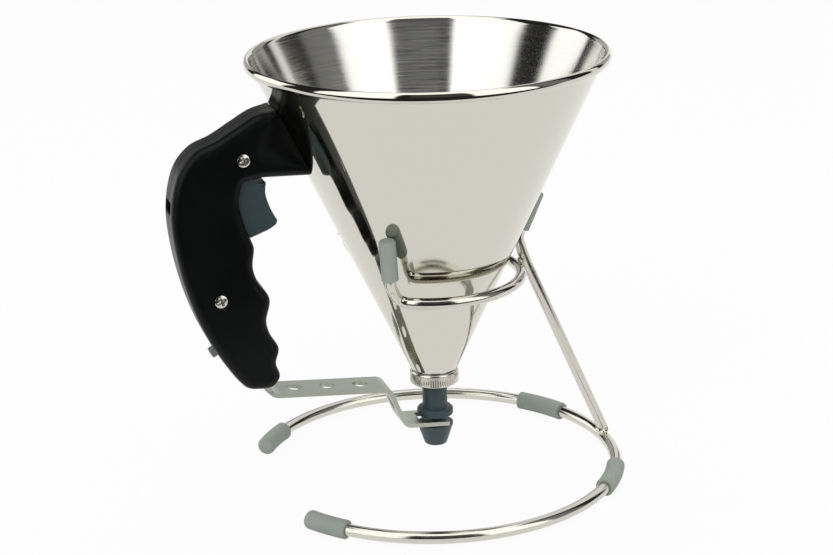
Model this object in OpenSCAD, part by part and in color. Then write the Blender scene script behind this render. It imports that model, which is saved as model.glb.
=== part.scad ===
// Batter dispenser: a steel funnel with a trigger handle and a lifting valve, on a wire stand.
// All sizes are millimetres. X runs from the handle to the stand's strut, Z is up from the table.

/* [Hopper] */
// Outside diameter over the rolled rim
rim_d = 190; // [184:1:196]
// Height of the middle of the rim's rolled hem above the table
rim_z = 231; // [229:0.1:236]
// Width of the rolled hem
hem_w = 3.6; // [3.4:0.1:4]
// Height of the rolled hem
hem_h = 6; // [5:0.1:6.4]
// Angle between the cone's wall and its axis, degrees
cone_angle = 24.9; // [24.6:0.1:25.2]
// Thickness of the hopper's steel sheet
sheet = 0.8; // [0.6:0.1:1]

/* [Outlet] */
// Diameter of the knurled collar
collar_d = 26.4; // [25:0.1:27.5]
// Number of ribs around the collar
collar_ribs = 64; // [48:4:72]
// Diameter of the nozzle's stem
stem_d = 13.5; // [13:0.1:13.6]
// Diameter of the passage through the nozzle
outlet_d = 7; // [5:0.5:8]
// Diameter of the nozzle's flange above the groove
flange_d = 19.6; // [19:0.1:20.4]
// Height of the nozzle's tip above the table
tip_z = 15.8; // [15:0.1:16.8]

/* [Stand] */
// Radius of the base ring, to the middle of the wire
base_r = 98.4; // [97:0.1:99]
// Diameter of the base ring's wire
base_wire = 6.5; // [6:0.1:7]
// Diameter of the soft sleeves and end caps on the base ring
foot_d = 10; // [9.5:0.5:11]
// Length of a sleeve, along the ring
sleeve_len = 30; // [27:1:34]
// Length of an end cap
end_cap_len = 25; // [22:1:28]
// Half of the base ring's arc, from the strut to where an end cap starts, degrees
base_arc = 135; // [130:1:136]
// Radius of the support ring under the hopper, to the middle of the wire
support_r = 47.5; // [47:0.1:48]
// Height of the support ring
support_z = 112.5; // [111:0.5:114]
// Diameter of the support ring's and the strut's wire
support_wire = 5.8; // [5.4:0.1:6.2]
// Diameter of the soft caps that carry the hopper
prong_cap_d = 8.8; // [8.4:0.1:9]
// Length of a prong's cap
prong_cap_len = 22.5; // [20:0.5:24]

/* [Handle] */
// Thickness of the handle across both shells
handle_w = 24; // [23:0.5:26]
// Wall thickness of the shells
shell_wall = 2.5; // [2.2:0.1:2.6]
// Radius of the handle's rounded edges
edge_r = 4.5; // [3:0.5:5]
// Head diameter of the shell screws
screw_head_d = 7; // [6.5:0.1:7.4]

/* [Trigger and lever] */
// Width of the trigger
trigger_w = 14; // [12:0.5:14.5]
// Width of the lever strip
lever_w = 19.5; // [18.5:0.5:20]
// Thickness of the lever strip
lever_t = 2.3; // [2:0.1:2.4]
// Diameter of the holes along the lever strip
lever_hole_d = 8; // [6:0.5:9]

/* [Hidden] */

$fn = 64;
eps = 0.02;           // overlap that makes one solid of two shapes
touch = 0.05;         // gap between pieces of one body that rest on each other
run = 0.06;           // radial clearance of a shaft that turns or slides
gap = 0.4;            // gap between the faces of pieces that move past each other
steel = [0.80, 0.79, 0.76];
dark = [0.06, 0.06, 0.065];
slate = [0.26, 0.32, 0.36];
grey = [0.55, 0.58, 0.56];

// The hopper's cone, as the radius of its outer face at a height.
wall_top_r = rim_d / 2 - 3;
apex_z = rim_z - wall_top_r / tan(cone_angle);
wall_h = sheet / cos(cone_angle);
hem_r = hem_w / 2;
hem_ring_r = rim_d / 2 - hem_r;
function cone_r(z) = (z - apex_z) * tan(cone_angle);

// Outlet heights, from the valve's seat down.
seat_z = 62;
neck_r = 9.9;
neck_bottom_z = 54;
bush_r = 7.9;
stem_r = stem_d / 2;
collar_top_z = 59.3;
collar_bottom_z = 51.5;
flange_top_z = 37.3;
groove_top_z = 33;
groove_bottom_z = 27.9;
groove_r = 5.9;
spout_r = flange_d / 2 - 0.1;
spout_top_z = 26.8;
tip_r = 6.05;
port_z = 58.3;
port_d = 4.6;
bore_end_z = port_z + port_d / 2 + 0.3;
valve_z = seat_z + 1.3;
valve_r = 9.2;
boss_top_r = 4.5;
boss_top_h = 1.4;

// Handle outline, in the X-Z plane with the hopper's axis at X = 0.
back_line = [
    [-104.9, 64.2], [-112.2, 73.2], [-122.9, 91.3], [-131.2, 111.8], [-137.3, 137.0], [-139.4, 162.0],
    [-135.2, 182.4], [-126.3, 193.7], [-114.6, 198.8], [-103.5, 205.0], [-93.8, 210.2], [-83.6, 212.8]
];
bridge_end_top = [-62, 217];
bridge_end_bottom = [-58, 176.4];
bridge_corner = [-91.5, 178];
front_line = [
    [-101.9, 176.6], [-104.4, 166.0], [-102.0, 153.6], [-99.2, 146.0], [-97.7, 140.6], [-98.8, 131.0],
    [-96.6, 122.8], [-90.8, 112.7], [-93.1, 101.2], [-91.4, 93.0], [-87.3, 85.1], [-89.1, 77.0],
    [-87.3, 69.5], [-91.3, 64.2], [-97.5, 63.4]
];
curve_steps = 5;

// Pivots and other places in the same plane.
trigger_pivot = [-98, 180];
lever_pivot = [-98.5, 72];
screw_top = [-101.5, 188.7];
screw_low = [-117.1, 115.5];
pin_r = 2;
hub_r = 3.4;
boss_r = 4;
screw_shank_r = 1.6;
screw_head_r = screw_head_d / 2;
half_w = handle_w / 2;
cavity_w = half_w - shell_wall;

// Lever: the strip under the handle, the fork at the nozzle and the arm inside the grip.
leg_end = [-95, 62.6];
strip_start = [-90.5, 58.7];
strip_end = [-28, 53.3];
fork_start = [-19.2, 31.4];
fork_end = [5.5, 29.4];
fork_slot_x = -10.4;
fork_slot_w = 2 * groove_r + 1.1;
arm_top = [-109.3, 157];
lever_holes_x = [-78.4, -60.4, -42.2];
slope_hole = [-23.9, 43.2];
neck_w = 18;
neck_end_z = 60.4;
arm_w = 12;
arm_t = 1.5;

// Lock button, square, across the grip's back.
lock_at = [-119.6, 85.2];
lock_turn = 29.3;
lock_w = 5;
lock_out = 3;

// Openings in the shells: the trigger's mouth as X and Z ranges in the grip's front and under the
// bridge, the slot for the lever's leg, and the slot high up the back.
mouth_front_x = [-109, -97];
mouth_front_z = [144.8, 176.3];
mouth_top_x = [-106.5, -91.9];
mouth_top_z = [173, 181];
leg_slot_x = [-101.5, -93.1];
leg_slot_z = [60, 68];
back_slot_z = [162.6, 168.1];
back_slot_w = 12;
head_recess = 1.4;
nut_recess = 2.4;
nub_w = 17;

// Stand places: height of the base ring, and the prongs as [radius, angle, height].
base_z = foot_d / 2;
support_wire_r = support_wire / 2;
ring_end_a = 128;
prong_a = 129.5;
prong_neck = [55.2, 122.5];
prong_tip = [58.35, 148.7];
strut_a = 2;
strut_foot = [98.4, 0, 10.2];
strut_knee_z = 113.6;
cap_clear = 0.35;
cap_edge = 1.7;       // rounding of the soft caps' closed ends
prong_cap_z = 127;
strut_cap_z = 132;
sleeve_a = 33.5;
deg = 180 / PI;
knuckle = 0.12;       // how much larger a ball joint is than its wire
core_a = (end_cap_len - 8) / base_r * deg;   // how far the base ring runs on inside an end cap

// ---- Curves ----

// One point of a smooth curve that runs through its control points.
function curve_point(a, b, c, d, t) =
    0.5 * (2 * b + (c - a) * t + (2 * a - 5 * b + 4 * c - d) * t * t + (3 * b - a - 3 * c + d) * t * t * t);

function smooth_line(p, n) = concat(
    [for (i = [0 : len(p) - 2], k = [0 : n - 1])
        curve_point(p[max(i - 1, 0)], p[i], p[i + 1], p[min(i + 2, len(p) - 1)], k / n)],
    [p[len(p) - 1]]
);

// A closed outline moved inwards by d, for points that run clockwise seen from -Y.
function unit(v) = v / norm(v);
function normal_in(a, b) = let (u = unit(b - a)) [u[1], -u[0]];
function inset(p, d) = [
    for (i = [0 : len(p) - 1])
        let (
            a = p[(i + len(p) - 1) % len(p)],
            b = p[i],
            c = p[(i + 1) % len(p)],
            n = unit(normal_in(a, b) + normal_in(b, c)),
            k = max(normal_in(a, b) * n, 0.5)
        )
        b + n * d / k
];

handle_outline = concat(
    smooth_line(back_line, curve_steps),
    [bridge_end_top, bridge_end_bottom, bridge_corner],
    smooth_line(front_line, curve_steps)
);

// The origin lies under the middle of the whole object's box.
back_x = min([for (p = handle_outline) p[0]]);
axis_x = -(back_x + base_r + base_wire / 2) / 2;

module at_axis() {
    translate([axis_x, 0, 0]) children();
}

// A flat shape drawn in X-Z, given thickness along Y from y0 to y1.
module slab(points, y0, y1) {
    translate([0, y1, 0]) rotate([90, 0, 0]) linear_extrude(y1 - y0) polygon(points);
}

// A round bar along Y at a place in X-Z.
module bar_y(at, r, y0, y1) {
    translate([at[0], y0, at[1]]) rotate([-90, 0, 0]) cylinder(r = r, h = y1 - y0);
}

// An open line of points in X-Z, moved sideways by d, with mitred corners.
function beside(p, d) = [
    for (i = [0 : len(p) - 1])
        let (
            before = normal_in(p[max(i - 1, 0)], p[max(i, 1)]),
            after = i < len(p) - 1 ? normal_in(p[i], p[i + 1]) : before,
            n = unit(before + after)
        )
        p[i] + n * d / (n * before)
];
function reversed(p) = [for (i = [len(p) - 1 : -1 : 0]) p[i]];

// A flat strip of thickness t and width w, bent along an open line in X-Z.
module bent_strip(p, t, w) {
    slab(concat(beside(p, t / 2), reversed(beside(p, -t / 2))), -w / 2, w / 2);
}

// Puts what follows at a, with its Z pointing to b.
module aim(a, b) {
    d = b - a;
    translate(a) rotate([0, acos(d[2] / norm(d)), atan2(d[1], d[0])]) children();
}

// A stretch of wire that starts in a ball, which joins it to the stretch before it.
module wire(a, b, r) {
    aim(a, b) {
        cylinder(r = r, h = norm(b - a));
        sphere(r = r + knuckle);
    }
}

// An arc of a ring of round section about Z, from angle a0 to a1.
module ring_arc(ring_r, r, z, a0, a1) {
    translate([0, 0, z]) rotate([0, 0, a0]) rotate_extrude(angle = a1 - a0, $fn = 128)
        translate([ring_r, 0]) circle(r = r, $fn = 48);
}

function polar(r, a, z) = [r * cos(a), r * sin(a), z];

// ---- Hopper and outlet ----

// Section of the hem: a flat oval, taller than wide, grown on all sides.
module hem_section(grow) {
    r = hem_r + grow;
    rise = hem_h / 2 - hem_r;
    for (s = [-1, 1]) translate([0, s * rise]) circle(r = r, $fn = 32);
    translate([-r, -rise]) square([2 * r, 2 * rise]);
}

// The wall's inner face runs straight on into the hem's inner side.
module hopper() {
    hem_in = hem_ring_r - hem_r;
    color(steel) at_axis() {
        rotate_extrude($fn = 180) polygon([
            [cone_r(seat_z - 1.4) - wall_h, seat_z - 1.4],
            [cone_r(rim_z + 0.6) - wall_h, rim_z + 0.6],
            [hem_in + sheet / 2, rim_z + 0.9],
            [hem_in + sheet / 2, rim_z],
            [cone_r(rim_z - 0.7), rim_z - 0.7],
            [cone_r(seat_z - 1.4), seat_z - 1.4]
        ]);
        rotate_extrude($fn = 180) translate([hem_ring_r, rim_z]) difference() {
            hem_section(0);
            hem_section(-sheet);
        }
    }
}

module rim_wire() {
    color(steel) at_axis() ring_arc(hem_ring_r, hem_r - sheet - 0.2, rim_z, 0, 360);
}

// Threaded neck, welded into the cone's end; its rim is the valve's seat.
module outlet_neck() {
    flange_z = collar_top_z + 0.3;
    color(steel) at_axis() rotate_extrude() polygon([
        [bush_r + touch, neck_bottom_z],
        [neck_r, neck_bottom_z],
        [neck_r, flange_z],
        [cone_r(flange_z) - wall_h - touch, flange_z],
        [cone_r(seat_z) - wall_h - touch, seat_z],
        [bush_r + touch, seat_z]
    ]);
}

// Nylon bush that guides the stem, held in the neck by the collar.
module guide_bush() {
    color("ivory") at_axis() rotate_extrude() polygon([
        [stem_r + run, collar_bottom_z + 1.3],
        [neck_r, collar_bottom_z + 1.3],
        [neck_r, neck_bottom_z - touch],
        [bush_r, neck_bottom_z - touch],
        [bush_r, seat_z],
        [stem_r + run, seat_z]
    ]);
}

module collar() {
    rib_w = PI * collar_d / collar_ribs / 2;
    color(steel) at_axis() difference() {
        union() {
            translate([0, 0, collar_bottom_z])
                cylinder(r = collar_d / 2 - 0.4, h = collar_top_z - collar_bottom_z);
            for (i = [0 : collar_ribs - 1]) rotate([0, 0, i * 360 / collar_ribs])
                translate([collar_d / 2 - 0.8, -rib_w / 2, collar_bottom_z + 0.8])
                    cube([0.8, rib_w, collar_top_z - collar_bottom_z - 1.6]);
        }
        translate([0, 0, collar_bottom_z + 1.2])
            cylinder(r = neck_r + run, h = collar_top_z);
        translate([0, 0, collar_bottom_z - 1]) cylinder(r = stem_r + 0.4, h = 4);
    }
}

// Valve stem with a passage up to its cross ports, flange, groove for the fork and spout, in one
// moulding. A boss on top carries the valve's head.
module nozzle() {
    color(slate) at_axis() difference() {
        rotate_extrude() polygon([
            [outlet_d / 2, tip_z],
            [tip_r, tip_z],
            [spout_r, spout_top_z],
            [spout_r, groove_bottom_z],
            [groove_r, groove_bottom_z],
            [groove_r, groove_top_z],
            [flange_d / 2, groove_top_z],
            [flange_d / 2, flange_top_z - 1.2],
            [flange_d / 2 - 1.4, flange_top_z],
            [stem_r, flange_top_z],
            [stem_r, valve_z - touch],
            [boss_top_r, valve_z - touch],
            [boss_top_r, valve_z + boss_top_h],
            [0, valve_z + boss_top_h],
            [0, bore_end_z],
            [outlet_d / 2, bore_end_z]
        ]);
        for (turn = [0, 90]) rotate([0, 0, turn]) translate([-stem_r - 1, 0, port_z])
            rotate([0, 90, 0]) cylinder(d = port_d, h = stem_d + 2);
    }
}

// Low domed head pressed on the stem's boss; it lifts off the seat with the stem.
module valve_head() {
    color(steel) at_axis() rotate_extrude() polygon([
        [boss_top_r + touch, valve_z],
        [valve_r, valve_z],
        [valve_r, valve_z + 1.6],
        [6.4, valve_z + 4.2],
        [2.2, valve_z + 5.4],
        [1, valve_z + 5.6],
        [0, valve_z + 5.6],
        [0, valve_z + boss_top_h + touch],
        [boss_top_r + touch, valve_z + boss_top_h + touch]
    ]);
}

module valve_seal() {
    color("dimgray") at_axis() translate([0, 0, seat_z + 0.1]) rotate_extrude()
        translate([stem_r + touch, 0]) square([valve_r - 0.4 - stem_r, valve_z - seat_z - 0.2]);
}

// ---- Handle ----

// The handle's solid in steps that round its long edges; side is -1 for the near shell.
module handle_solid(side) {
    steps = 4;
    for (i = [0 : steps]) {
        y0 = i == 0 ? 0 : half_w - edge_r + edge_r * sin((i - 1) * 90 / steps) - eps;
        y1 = i == 0 ? half_w - edge_r : half_w - edge_r + edge_r * sin(i * 90 / steps);
        depth = i == 0 ? 0 : edge_r * (1 - cos((i - 0.5) * 90 / steps));
        points = depth > 0 ? inset(handle_outline, depth) : handle_outline;
        slab(points, side < 0 ? -y1 : y0, side < 0 ? -y0 : y1);
    }
}

// What the hopper takes away from the handle's end.
module hopper_cut(clear) {
    cylinder(r1 = cone_r(100) + clear, r2 = cone_r(300) + clear, h = 200);
}

module handle_shell(side) {
    cavity = inset(handle_outline, shell_wall);
    color(dark) at_axis() difference() {
        union() {
            difference() {
                handle_solid(side);
                slab(cavity, side < 0 ? -cavity_w : -1, side < 0 ? 1 : cavity_w);
            }
            for (at = [screw_top, screw_low])
                bar_y(at, boss_r, side < 0 ? -cavity_w - eps : 1.1, side < 0 ? -1.1 : cavity_w + eps);
            for (at = [trigger_pivot, lever_pivot])
                bar_y(at, boss_r, side < 0 ? -cavity_w - eps : neck_w / 2 + 0.1,
                    side < 0 ? -neck_w / 2 - 0.1 : cavity_w + eps);
            translate([mouth_top_x[1], side < 0 ? -nub_w / 2 : 0, 174.9]) cube([2.2, nub_w / 2, 4]);
        }
        translate([0, 0, 100]) hopper_cut(0.25);
        translate([0, 0, rim_z]) rotate_extrude() translate([hem_ring_r, 0]) hem_section(0.4);
        // Pins, screws and the recesses of the heads and nuts.
        for (at = [trigger_pivot, lever_pivot]) bar_y(at, pin_r + touch, -half_w + 1.2, half_w - 1.2);
        for (at = [screw_top, screw_low]) {
            bar_y(at, screw_shank_r + 0.15, -half_w - 1, half_w + 1);
            bar_y(at, screw_head_r + 0.5, -half_w - 1, -half_w + head_recess);
            bar_y(at, screw_head_r, half_w - nut_recess, half_w + 1);
        }
        // Mouth for the trigger, in the grip's front and the bridge's underside.
        opening(mouth_front_x, trigger_w + 2 * gap, mouth_front_z);
        opening(mouth_top_x, trigger_w + 2 * gap, mouth_top_z);
        // Slot for the lever's leg in the bottom end.
        opening(leg_slot_x, neck_w + 0.6, leg_slot_z);
        // Square guide for the lock button, and the slot higher up the back.
        lock_frame() opening([-8, 8], lock_w + 0.4, [-lock_w / 2 - 0.2, lock_w / 2 + 0.2]);
        opening([back_x - 1.5, back_x + 3.5], back_slot_w, back_slot_z);
    }
}

// A box-shaped hole, w wide across the handle, over a range of X and a range of Z.
module opening(x, w, z) {
    translate([x[0], -w / 2, z[0]]) cube([x[1] - x[0], w, z[1] - z[0]]);
}

module handle_shell_left() {
    handle_shell(-1);
}

module handle_shell_right() {
    handle_shell(1);
}

// Steel bracket welded to the cone's back, with a web between the shells.
module handle_bracket() {
    pad_z0 = 183;
    pad_z1 = 207.5;
    pad_t = 1.5;
    web_points = [
        [-cone_r(pad_z0) - 1.2, pad_z0 + 1], [-cone_r(pad_z1) - 1.2, pad_z1 - 1], [-93, pad_z1 - 8],
        [-108, 194.5], [-108, 184.6], [-86, 184.6]
    ];
    color(steel) at_axis() difference() {
        union() {
            translate([-cone_r(pad_z0) - 0.1, 0, pad_z0]) rotate([0, -cone_angle, 0])
                translate([-pad_t, -8, 0]) cube([pad_t, 16, (pad_z1 - pad_z0) / cos(cone_angle)]);
            slab(web_points, -1, 1);
        }
        bar_y(screw_top, screw_shank_r + 0.15, -3, 3);
        translate([0, 0, 100]) hopper_cut(0.1);
    }
}

// Two pan-head screws, in from the near side.
module shell_screws() {
    color(steel) at_axis() for (at = [screw_top, screw_low]) difference() {
        union() {
            bar_y(at, screw_shank_r, -half_w + 1.5, half_w - 0.4);
            bar_y(at, screw_head_r, -half_w - 0.1, -half_w + head_recess - touch);
            bar_y(at, screw_head_r - 0.7, -half_w - 0.8, -half_w);
            bar_y(at, screw_shank_r, -half_w, -half_w + 2);
        }
        for (turn = [0, 90]) translate([at[0], -half_w - 1, at[1]]) rotate([0, turn + 30, 0])
            translate([-2, 0, -0.45]) cube([4, 1.3, 0.9]);
    }
}

module shell_nuts() {
    color(steel) at_axis() for (at = [screw_top, screw_low]) difference() {
        translate([at[0], half_w - nut_recess + touch, at[1]]) rotate([-90, 0, 0])
            cylinder(r = screw_head_r - 0.2, h = 1.9, $fn = 6);
        bar_y(at, screw_shank_r + 0.1, half_w - 3, half_w + 1);
    }
}

// ---- Trigger and lever ----

module trigger() {
    face = smooth_line([
        [-89.4, 174.6], [-89.8, 168.6], [-88.3, 162.6], [-86.2, 157.6], [-84.2, 153.9]
    ], 5);
    back = [
        [-84.9, 151.8], [-88.6, 149.5], [-99.3, 145.7], [-103.6, 146.3], [-106.4, 148.6], [-106.4, 164],
        [-104.6, 173.8], [-101.4, 180], [-94.6, 180], [-93.2, 174.7]
    ];
    color(slate) at_axis() difference() {
        union() {
            slab(concat(face, back), -trigger_w / 2, trigger_w / 2);
            bar_y(trigger_pivot, hub_r, -trigger_w / 2, trigger_w / 2);
            bar_y([-105, 150.5], 2.2, -trigger_w / 2, trigger_w / 2);
        }
        bar_y(trigger_pivot, pin_r + run, -half_w, half_w);
    }
}

module trigger_pin() {
    color(steel) at_axis() bar_y(trigger_pivot, pin_r, -half_w + 1.4, half_w - 1.4);
}

module lever_pin() {
    color(steel) at_axis() bar_y(lever_pivot, pin_r, -half_w + 1.4, half_w - 1.4);
}

// Lever: narrow neck in the grip, strip with three holes, slope with a fourth, and the fork.
module lever() {
    slope = strip_end - fork_start;
    color(steel) at_axis() difference() {
        union() {
            bent_strip([lever_pivot, leg_end, strip_start, strip_end, fork_start, fork_end],
                lever_t, lever_w);
            bent_strip([lever_pivot, arm_top], arm_t, arm_w);
            bar_y(lever_pivot, hub_r, -neck_w / 2 + 0.3, neck_w / 2 - 0.3);
        }
        bar_y(lever_pivot, pin_r + run, -half_w, half_w);
        for (side = [-1, 1]) slab([
            [-110, neck_end_z], [-80, neck_end_z], [-80, 90], [-110, 90]
        ], side < 0 ? -half_w : neck_w / 2, side < 0 ? -neck_w / 2 : half_w);
        for (x = lever_holes_x) translate([x, 0, 50]) cylinder(d = lever_hole_d, h = 20);
        translate([slope_hole[0], 0, slope_hole[1]]) rotate([0, atan2(slope[1], -slope[0]), 0])
            cylinder(d = lever_hole_d, h = 8, center = true);
        translate([fork_slot_x, -fork_slot_w / 2, 25]) cube([20, fork_slot_w, 12]);
    }
}

// Open coil spring that pushes the lever's arm back, as one swept tube.
spring_turns = 7;
spring_ring = 16;
spring_sides = 6;
spring_r = 3.6;
spring_wire_r = 0.55;
spring_x0 = -108.9;
spring_x1 = -134.6;
spring_z = 140;
function spring_at(k) =
    let (a = 360 * k / spring_ring, t = k / (spring_turns * spring_ring))
    [spring_x0 + (spring_x1 - spring_x0) * t, spring_r * cos(a), spring_z + spring_r * sin(a)];

module return_spring() {
    rings = spring_turns * spring_ring;
    points = [
        for (k = [0 : rings], j = [0 : spring_sides - 1])
            let (a = 360 * k / spring_ring, b = 360 * j / spring_sides)
            spring_at(k) + spring_wire_r * (cos(b) * [0, cos(a), sin(a)] + sin(b) * [1, 0, 0])
    ];
    sides = [
        for (k = [0 : rings - 1], j = [0 : spring_sides - 1])
            let (i = k * spring_sides, m = (j + 1) % spring_sides)
            [i + j, i + m, i + spring_sides + m, i + spring_sides + j]
    ];
    first = [for (j = [spring_sides - 1 : -1 : 0]) j];
    last = [for (j = [0 : spring_sides - 1]) rings * spring_sides + j];
    color(steel) at_axis() polyhedron(points, concat(sides, [first, last]));
}

// Frame of the lock button: X runs into the grip.
module lock_frame() {
    translate([lock_at[0], 0, lock_at[1]]) rotate([0, -lock_turn, 0]) children();
}

module lock_button() {
    color(slate) at_axis() lock_frame() {
        translate([-lock_out, -lock_w / 2, -lock_w / 2]) cube([lock_out + 7, lock_w, lock_w]);
        translate([3.2, -4, -4]) cube([1.5, 8, 8]);
    }
}

// ---- Stand ----

module base_ring() {
    color(steel) at_axis()
        ring_arc(base_r, base_wire / 2, base_z, -base_arc - core_a, base_arc + core_a);
}

// A tube along the base ring from angle a0 to a1, on side s.
module ring_tube(s, r, a0, a1) {
    ring_arc(base_r, r, base_z, s < 0 ? -a1 : a0, s < 0 ? -a0 : a1);
}

module end_cap(s) {
    cap_a = base_arc + (end_cap_len - cap_edge) / base_r * deg;
    end = polar(base_r, s * cap_a, base_z);
    forward = s * [-sin(s * cap_a), cos(s * cap_a), 0];
    color(grey) at_axis() difference() {
        union() {
            ring_tube(s, foot_d / 2, base_arc + 0.2, cap_a);
            aim(end - 0.3 * forward, end) rotate_extrude() cap_section(foot_d / 2 + touch);
        }
        ring_tube(s, base_wire / 2 + touch, base_arc - 1, base_arc + core_a + 0.1);
    }
}

module end_cap_front() {
    end_cap(-1);
}

module end_cap_back() {
    end_cap(1);
}

module sleeve(s) {
    half_a = sleeve_len / base_r / 2 * deg;
    color(grey) at_axis() translate([0, 0, base_z]) rotate([0, 0, s * sleeve_a - half_a])
        rotate_extrude(angle = 2 * half_a, $fn = 128) translate([base_r, 0]) difference() {
            circle(r = foot_d / 2, $fn = 48);
            circle(r = base_wire / 2 + touch, $fn = 48);
        }
}

module sleeve_front() {
    sleeve(-1);
}

module sleeve_back() {
    sleeve(1);
}

// The ring's two ends turn up into the prongs that carry the hopper.
module support_ring() {
    color(steel) at_axis() {
        ring_arc(support_r, support_wire_r, support_z, -ring_end_a, ring_end_a);
        for (s = [-1, 1]) {
            end = polar(support_r, s * ring_end_a, support_z);
            neck = polar(prong_neck[0], s * prong_a, prong_neck[1]);
            forward = s * [-sin(s * ring_end_a), cos(s * ring_end_a), 0];
            aim(end, neck) cylinder(r = support_wire_r, h = norm(neck - end));
            // The ball's poles lie inside the ring and the rod.
            aim(end, end + unit(neck - end) + forward) sphere(r = support_wire_r + knuckle);
            wire(neck, prong_point(s, prong_tip[1] - 4), support_wire_r);
        }
    }
}

// A point on the axis of a ring prong at height z.
function prong_point(s, z) = let (
        t = (z - prong_neck[1]) / (prong_tip[1] - prong_neck[1]),
        r = prong_neck[0] + (prong_tip[0] - prong_neck[0]) * t
    )
    polar(r, s * prong_a, z);

// A point on the axis of the strut's prong, which runs beside the cone's wall.
strut_cap_off = (prong_cap_d / 2 + cap_clear) / cos(cone_angle);
function strut_prong(z) = polar(cone_r(z) + strut_cap_off, strut_a, z);

// Section of a cap's closed end, of radius r: flat, with a rounded edge.
module cap_section(r) {
    square([r - cap_edge, cap_edge]);
    translate([r - cap_edge, 0]) intersection() {
        circle(r = cap_edge);
        square(cap_edge);
    }
}

// A cap from a towards b, over a prong that ends at core.
module soft_cap(a, b, core) {
    r = prong_cap_d / 2;
    aim(a, b) rotate_extrude() difference() {
        union() {
            square([r, prong_cap_len - cap_edge]);
            translate([0, prong_cap_len - cap_edge]) cap_section(r);
        }
        translate([0, -1]) square([support_wire_r + touch, norm(core - a) + 1 + touch]);
    }
}

module prong_cap_front() {
    color(grey) at_axis() soft_cap(prong_point(-1, prong_cap_z), prong_point(-1, 140),
        prong_point(-1, prong_tip[1] - 4));
}

module prong_cap_back() {
    color(grey) at_axis() soft_cap(prong_point(1, prong_cap_z), prong_point(1, 140),
        prong_point(1, prong_tip[1] - 4));
}

module prong_cap_strut() {
    color(grey) at_axis() soft_cap(strut_prong(strut_cap_z), strut_prong(150), strut_prong(148));
}

// Strut from the base ring past the support ring to its own prong, with weld beads at both rings.
module strut() {
    knee = polar(support_r + support_wire + 0.4, strut_a, strut_knee_z);
    weld_a = polar(base_r - 0.6, 0, base_z + 3.6);
    weld_b = polar(support_r + support_wire_r + 0.2, strut_a, support_z + 0.6);
    color(steel) at_axis() difference() {
        union() {
            wire(strut_foot, knee, support_wire_r);
            wire(knee, strut_prong(127.5), support_wire_r);
            wire(strut_prong(127.5), strut_prong(148), support_wire_r);
            translate(weld_a) sphere(r = 3.9);
            aim(weld_b, knee) sphere(r = 2.7);
        }
        ring_arc(base_r, base_wire / 2 + touch, base_z, -20, 20);
        ring_arc(support_r, support_wire_r + touch, support_z, -30, 20);
    }
}

hopper();
rim_wire();
outlet_neck();
guide_bush();
collar();
nozzle();
valve_head();
valve_seal();
handle_bracket();
handle_shell_left();
handle_shell_right();
shell_screws();
shell_nuts();
trigger();
trigger_pin();
lever();
lever_pin();
return_spring();
lock_button();
base_ring();
strut();
support_ring();
sleeve_front();
sleeve_back();
end_cap_front();
end_cap_back();
prong_cap_front();
prong_cap_back();
prong_cap_strut();
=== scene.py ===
import bmesh
import bpy
import numpy as np
from mathutils import Matrix, Vector
from mathutils.geometry import delaunay_2d_cdt


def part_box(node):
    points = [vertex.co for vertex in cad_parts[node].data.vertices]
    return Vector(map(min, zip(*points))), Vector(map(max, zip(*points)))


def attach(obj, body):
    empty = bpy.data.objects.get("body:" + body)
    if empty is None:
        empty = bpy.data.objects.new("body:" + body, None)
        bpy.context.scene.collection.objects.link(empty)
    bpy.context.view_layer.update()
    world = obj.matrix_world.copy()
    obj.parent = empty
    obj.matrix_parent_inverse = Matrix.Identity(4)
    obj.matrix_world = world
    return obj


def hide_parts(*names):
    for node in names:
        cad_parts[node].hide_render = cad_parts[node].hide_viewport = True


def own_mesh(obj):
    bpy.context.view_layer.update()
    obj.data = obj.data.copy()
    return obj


# Batter dispenser: a steel funnel with a trigger handle and a lifting nozzle, on a wire stand.
# Shapes are worked out in millimetres with the funnel's axis at X = Y = 0, X towards the strut and
# Z up from the table. make_piece() puts them in metres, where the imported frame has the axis.

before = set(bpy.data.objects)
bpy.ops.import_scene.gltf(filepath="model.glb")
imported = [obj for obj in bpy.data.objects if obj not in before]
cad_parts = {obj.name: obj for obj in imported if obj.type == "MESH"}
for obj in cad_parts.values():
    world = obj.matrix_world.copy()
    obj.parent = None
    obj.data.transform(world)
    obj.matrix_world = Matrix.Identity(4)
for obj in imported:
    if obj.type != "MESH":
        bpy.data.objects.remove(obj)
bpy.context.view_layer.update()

MM = 0.001
MERGE, NO_LENGTH = 1e-6, 1e-7       # metres: points this near are one, and edges this short go


def axis_place(node):
    """Place of the funnel's axis on the table, in metres: the middle of a node that is round about it."""
    low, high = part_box(node)
    middle = (low + high) / 2
    return np.array([middle.x, 0.0, 0.0])


AXIS = axis_place("collar")

# ---- Sizes, in millimetres, with angles in degrees ----

FIT = 0.05                      # between a piece and the one it is pushed onto

# Cone: its outer wall, and the hem's oval section on top of it.
RIM_Z = 231.0
WALL_TOP_R = 92.0               # outer radius of the wall at RIM_Z
WALL_T = 0.8
CONE_ANGLE = np.radians(24.9)   # half the cone's opening
CONE_SLOPE = np.tan(CONE_ANGLE)
WALL_H = WALL_T / np.cos(CONE_ANGLE)    # the wall measured level
HOPPER_FOOT_Z = 60.6
INNER_TOP_Z = RIM_Z + 0.1       # where the two faces of the wall run into the hem
OUTER_TOP_Z = RIM_Z - 1.7
HEM_SHOULDER_Z = RIM_Z + 1.5    # the brushed finish ends here
HEM_AT = (93.15, 231.2)
HEM_HALF = (1.85, 2.8)
HEM_POWER = 1.7
HEM_LEAN = np.radians(5.0)
HEM_SPAN = (172, -143)          # from the inner face over the top to the outer face

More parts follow.
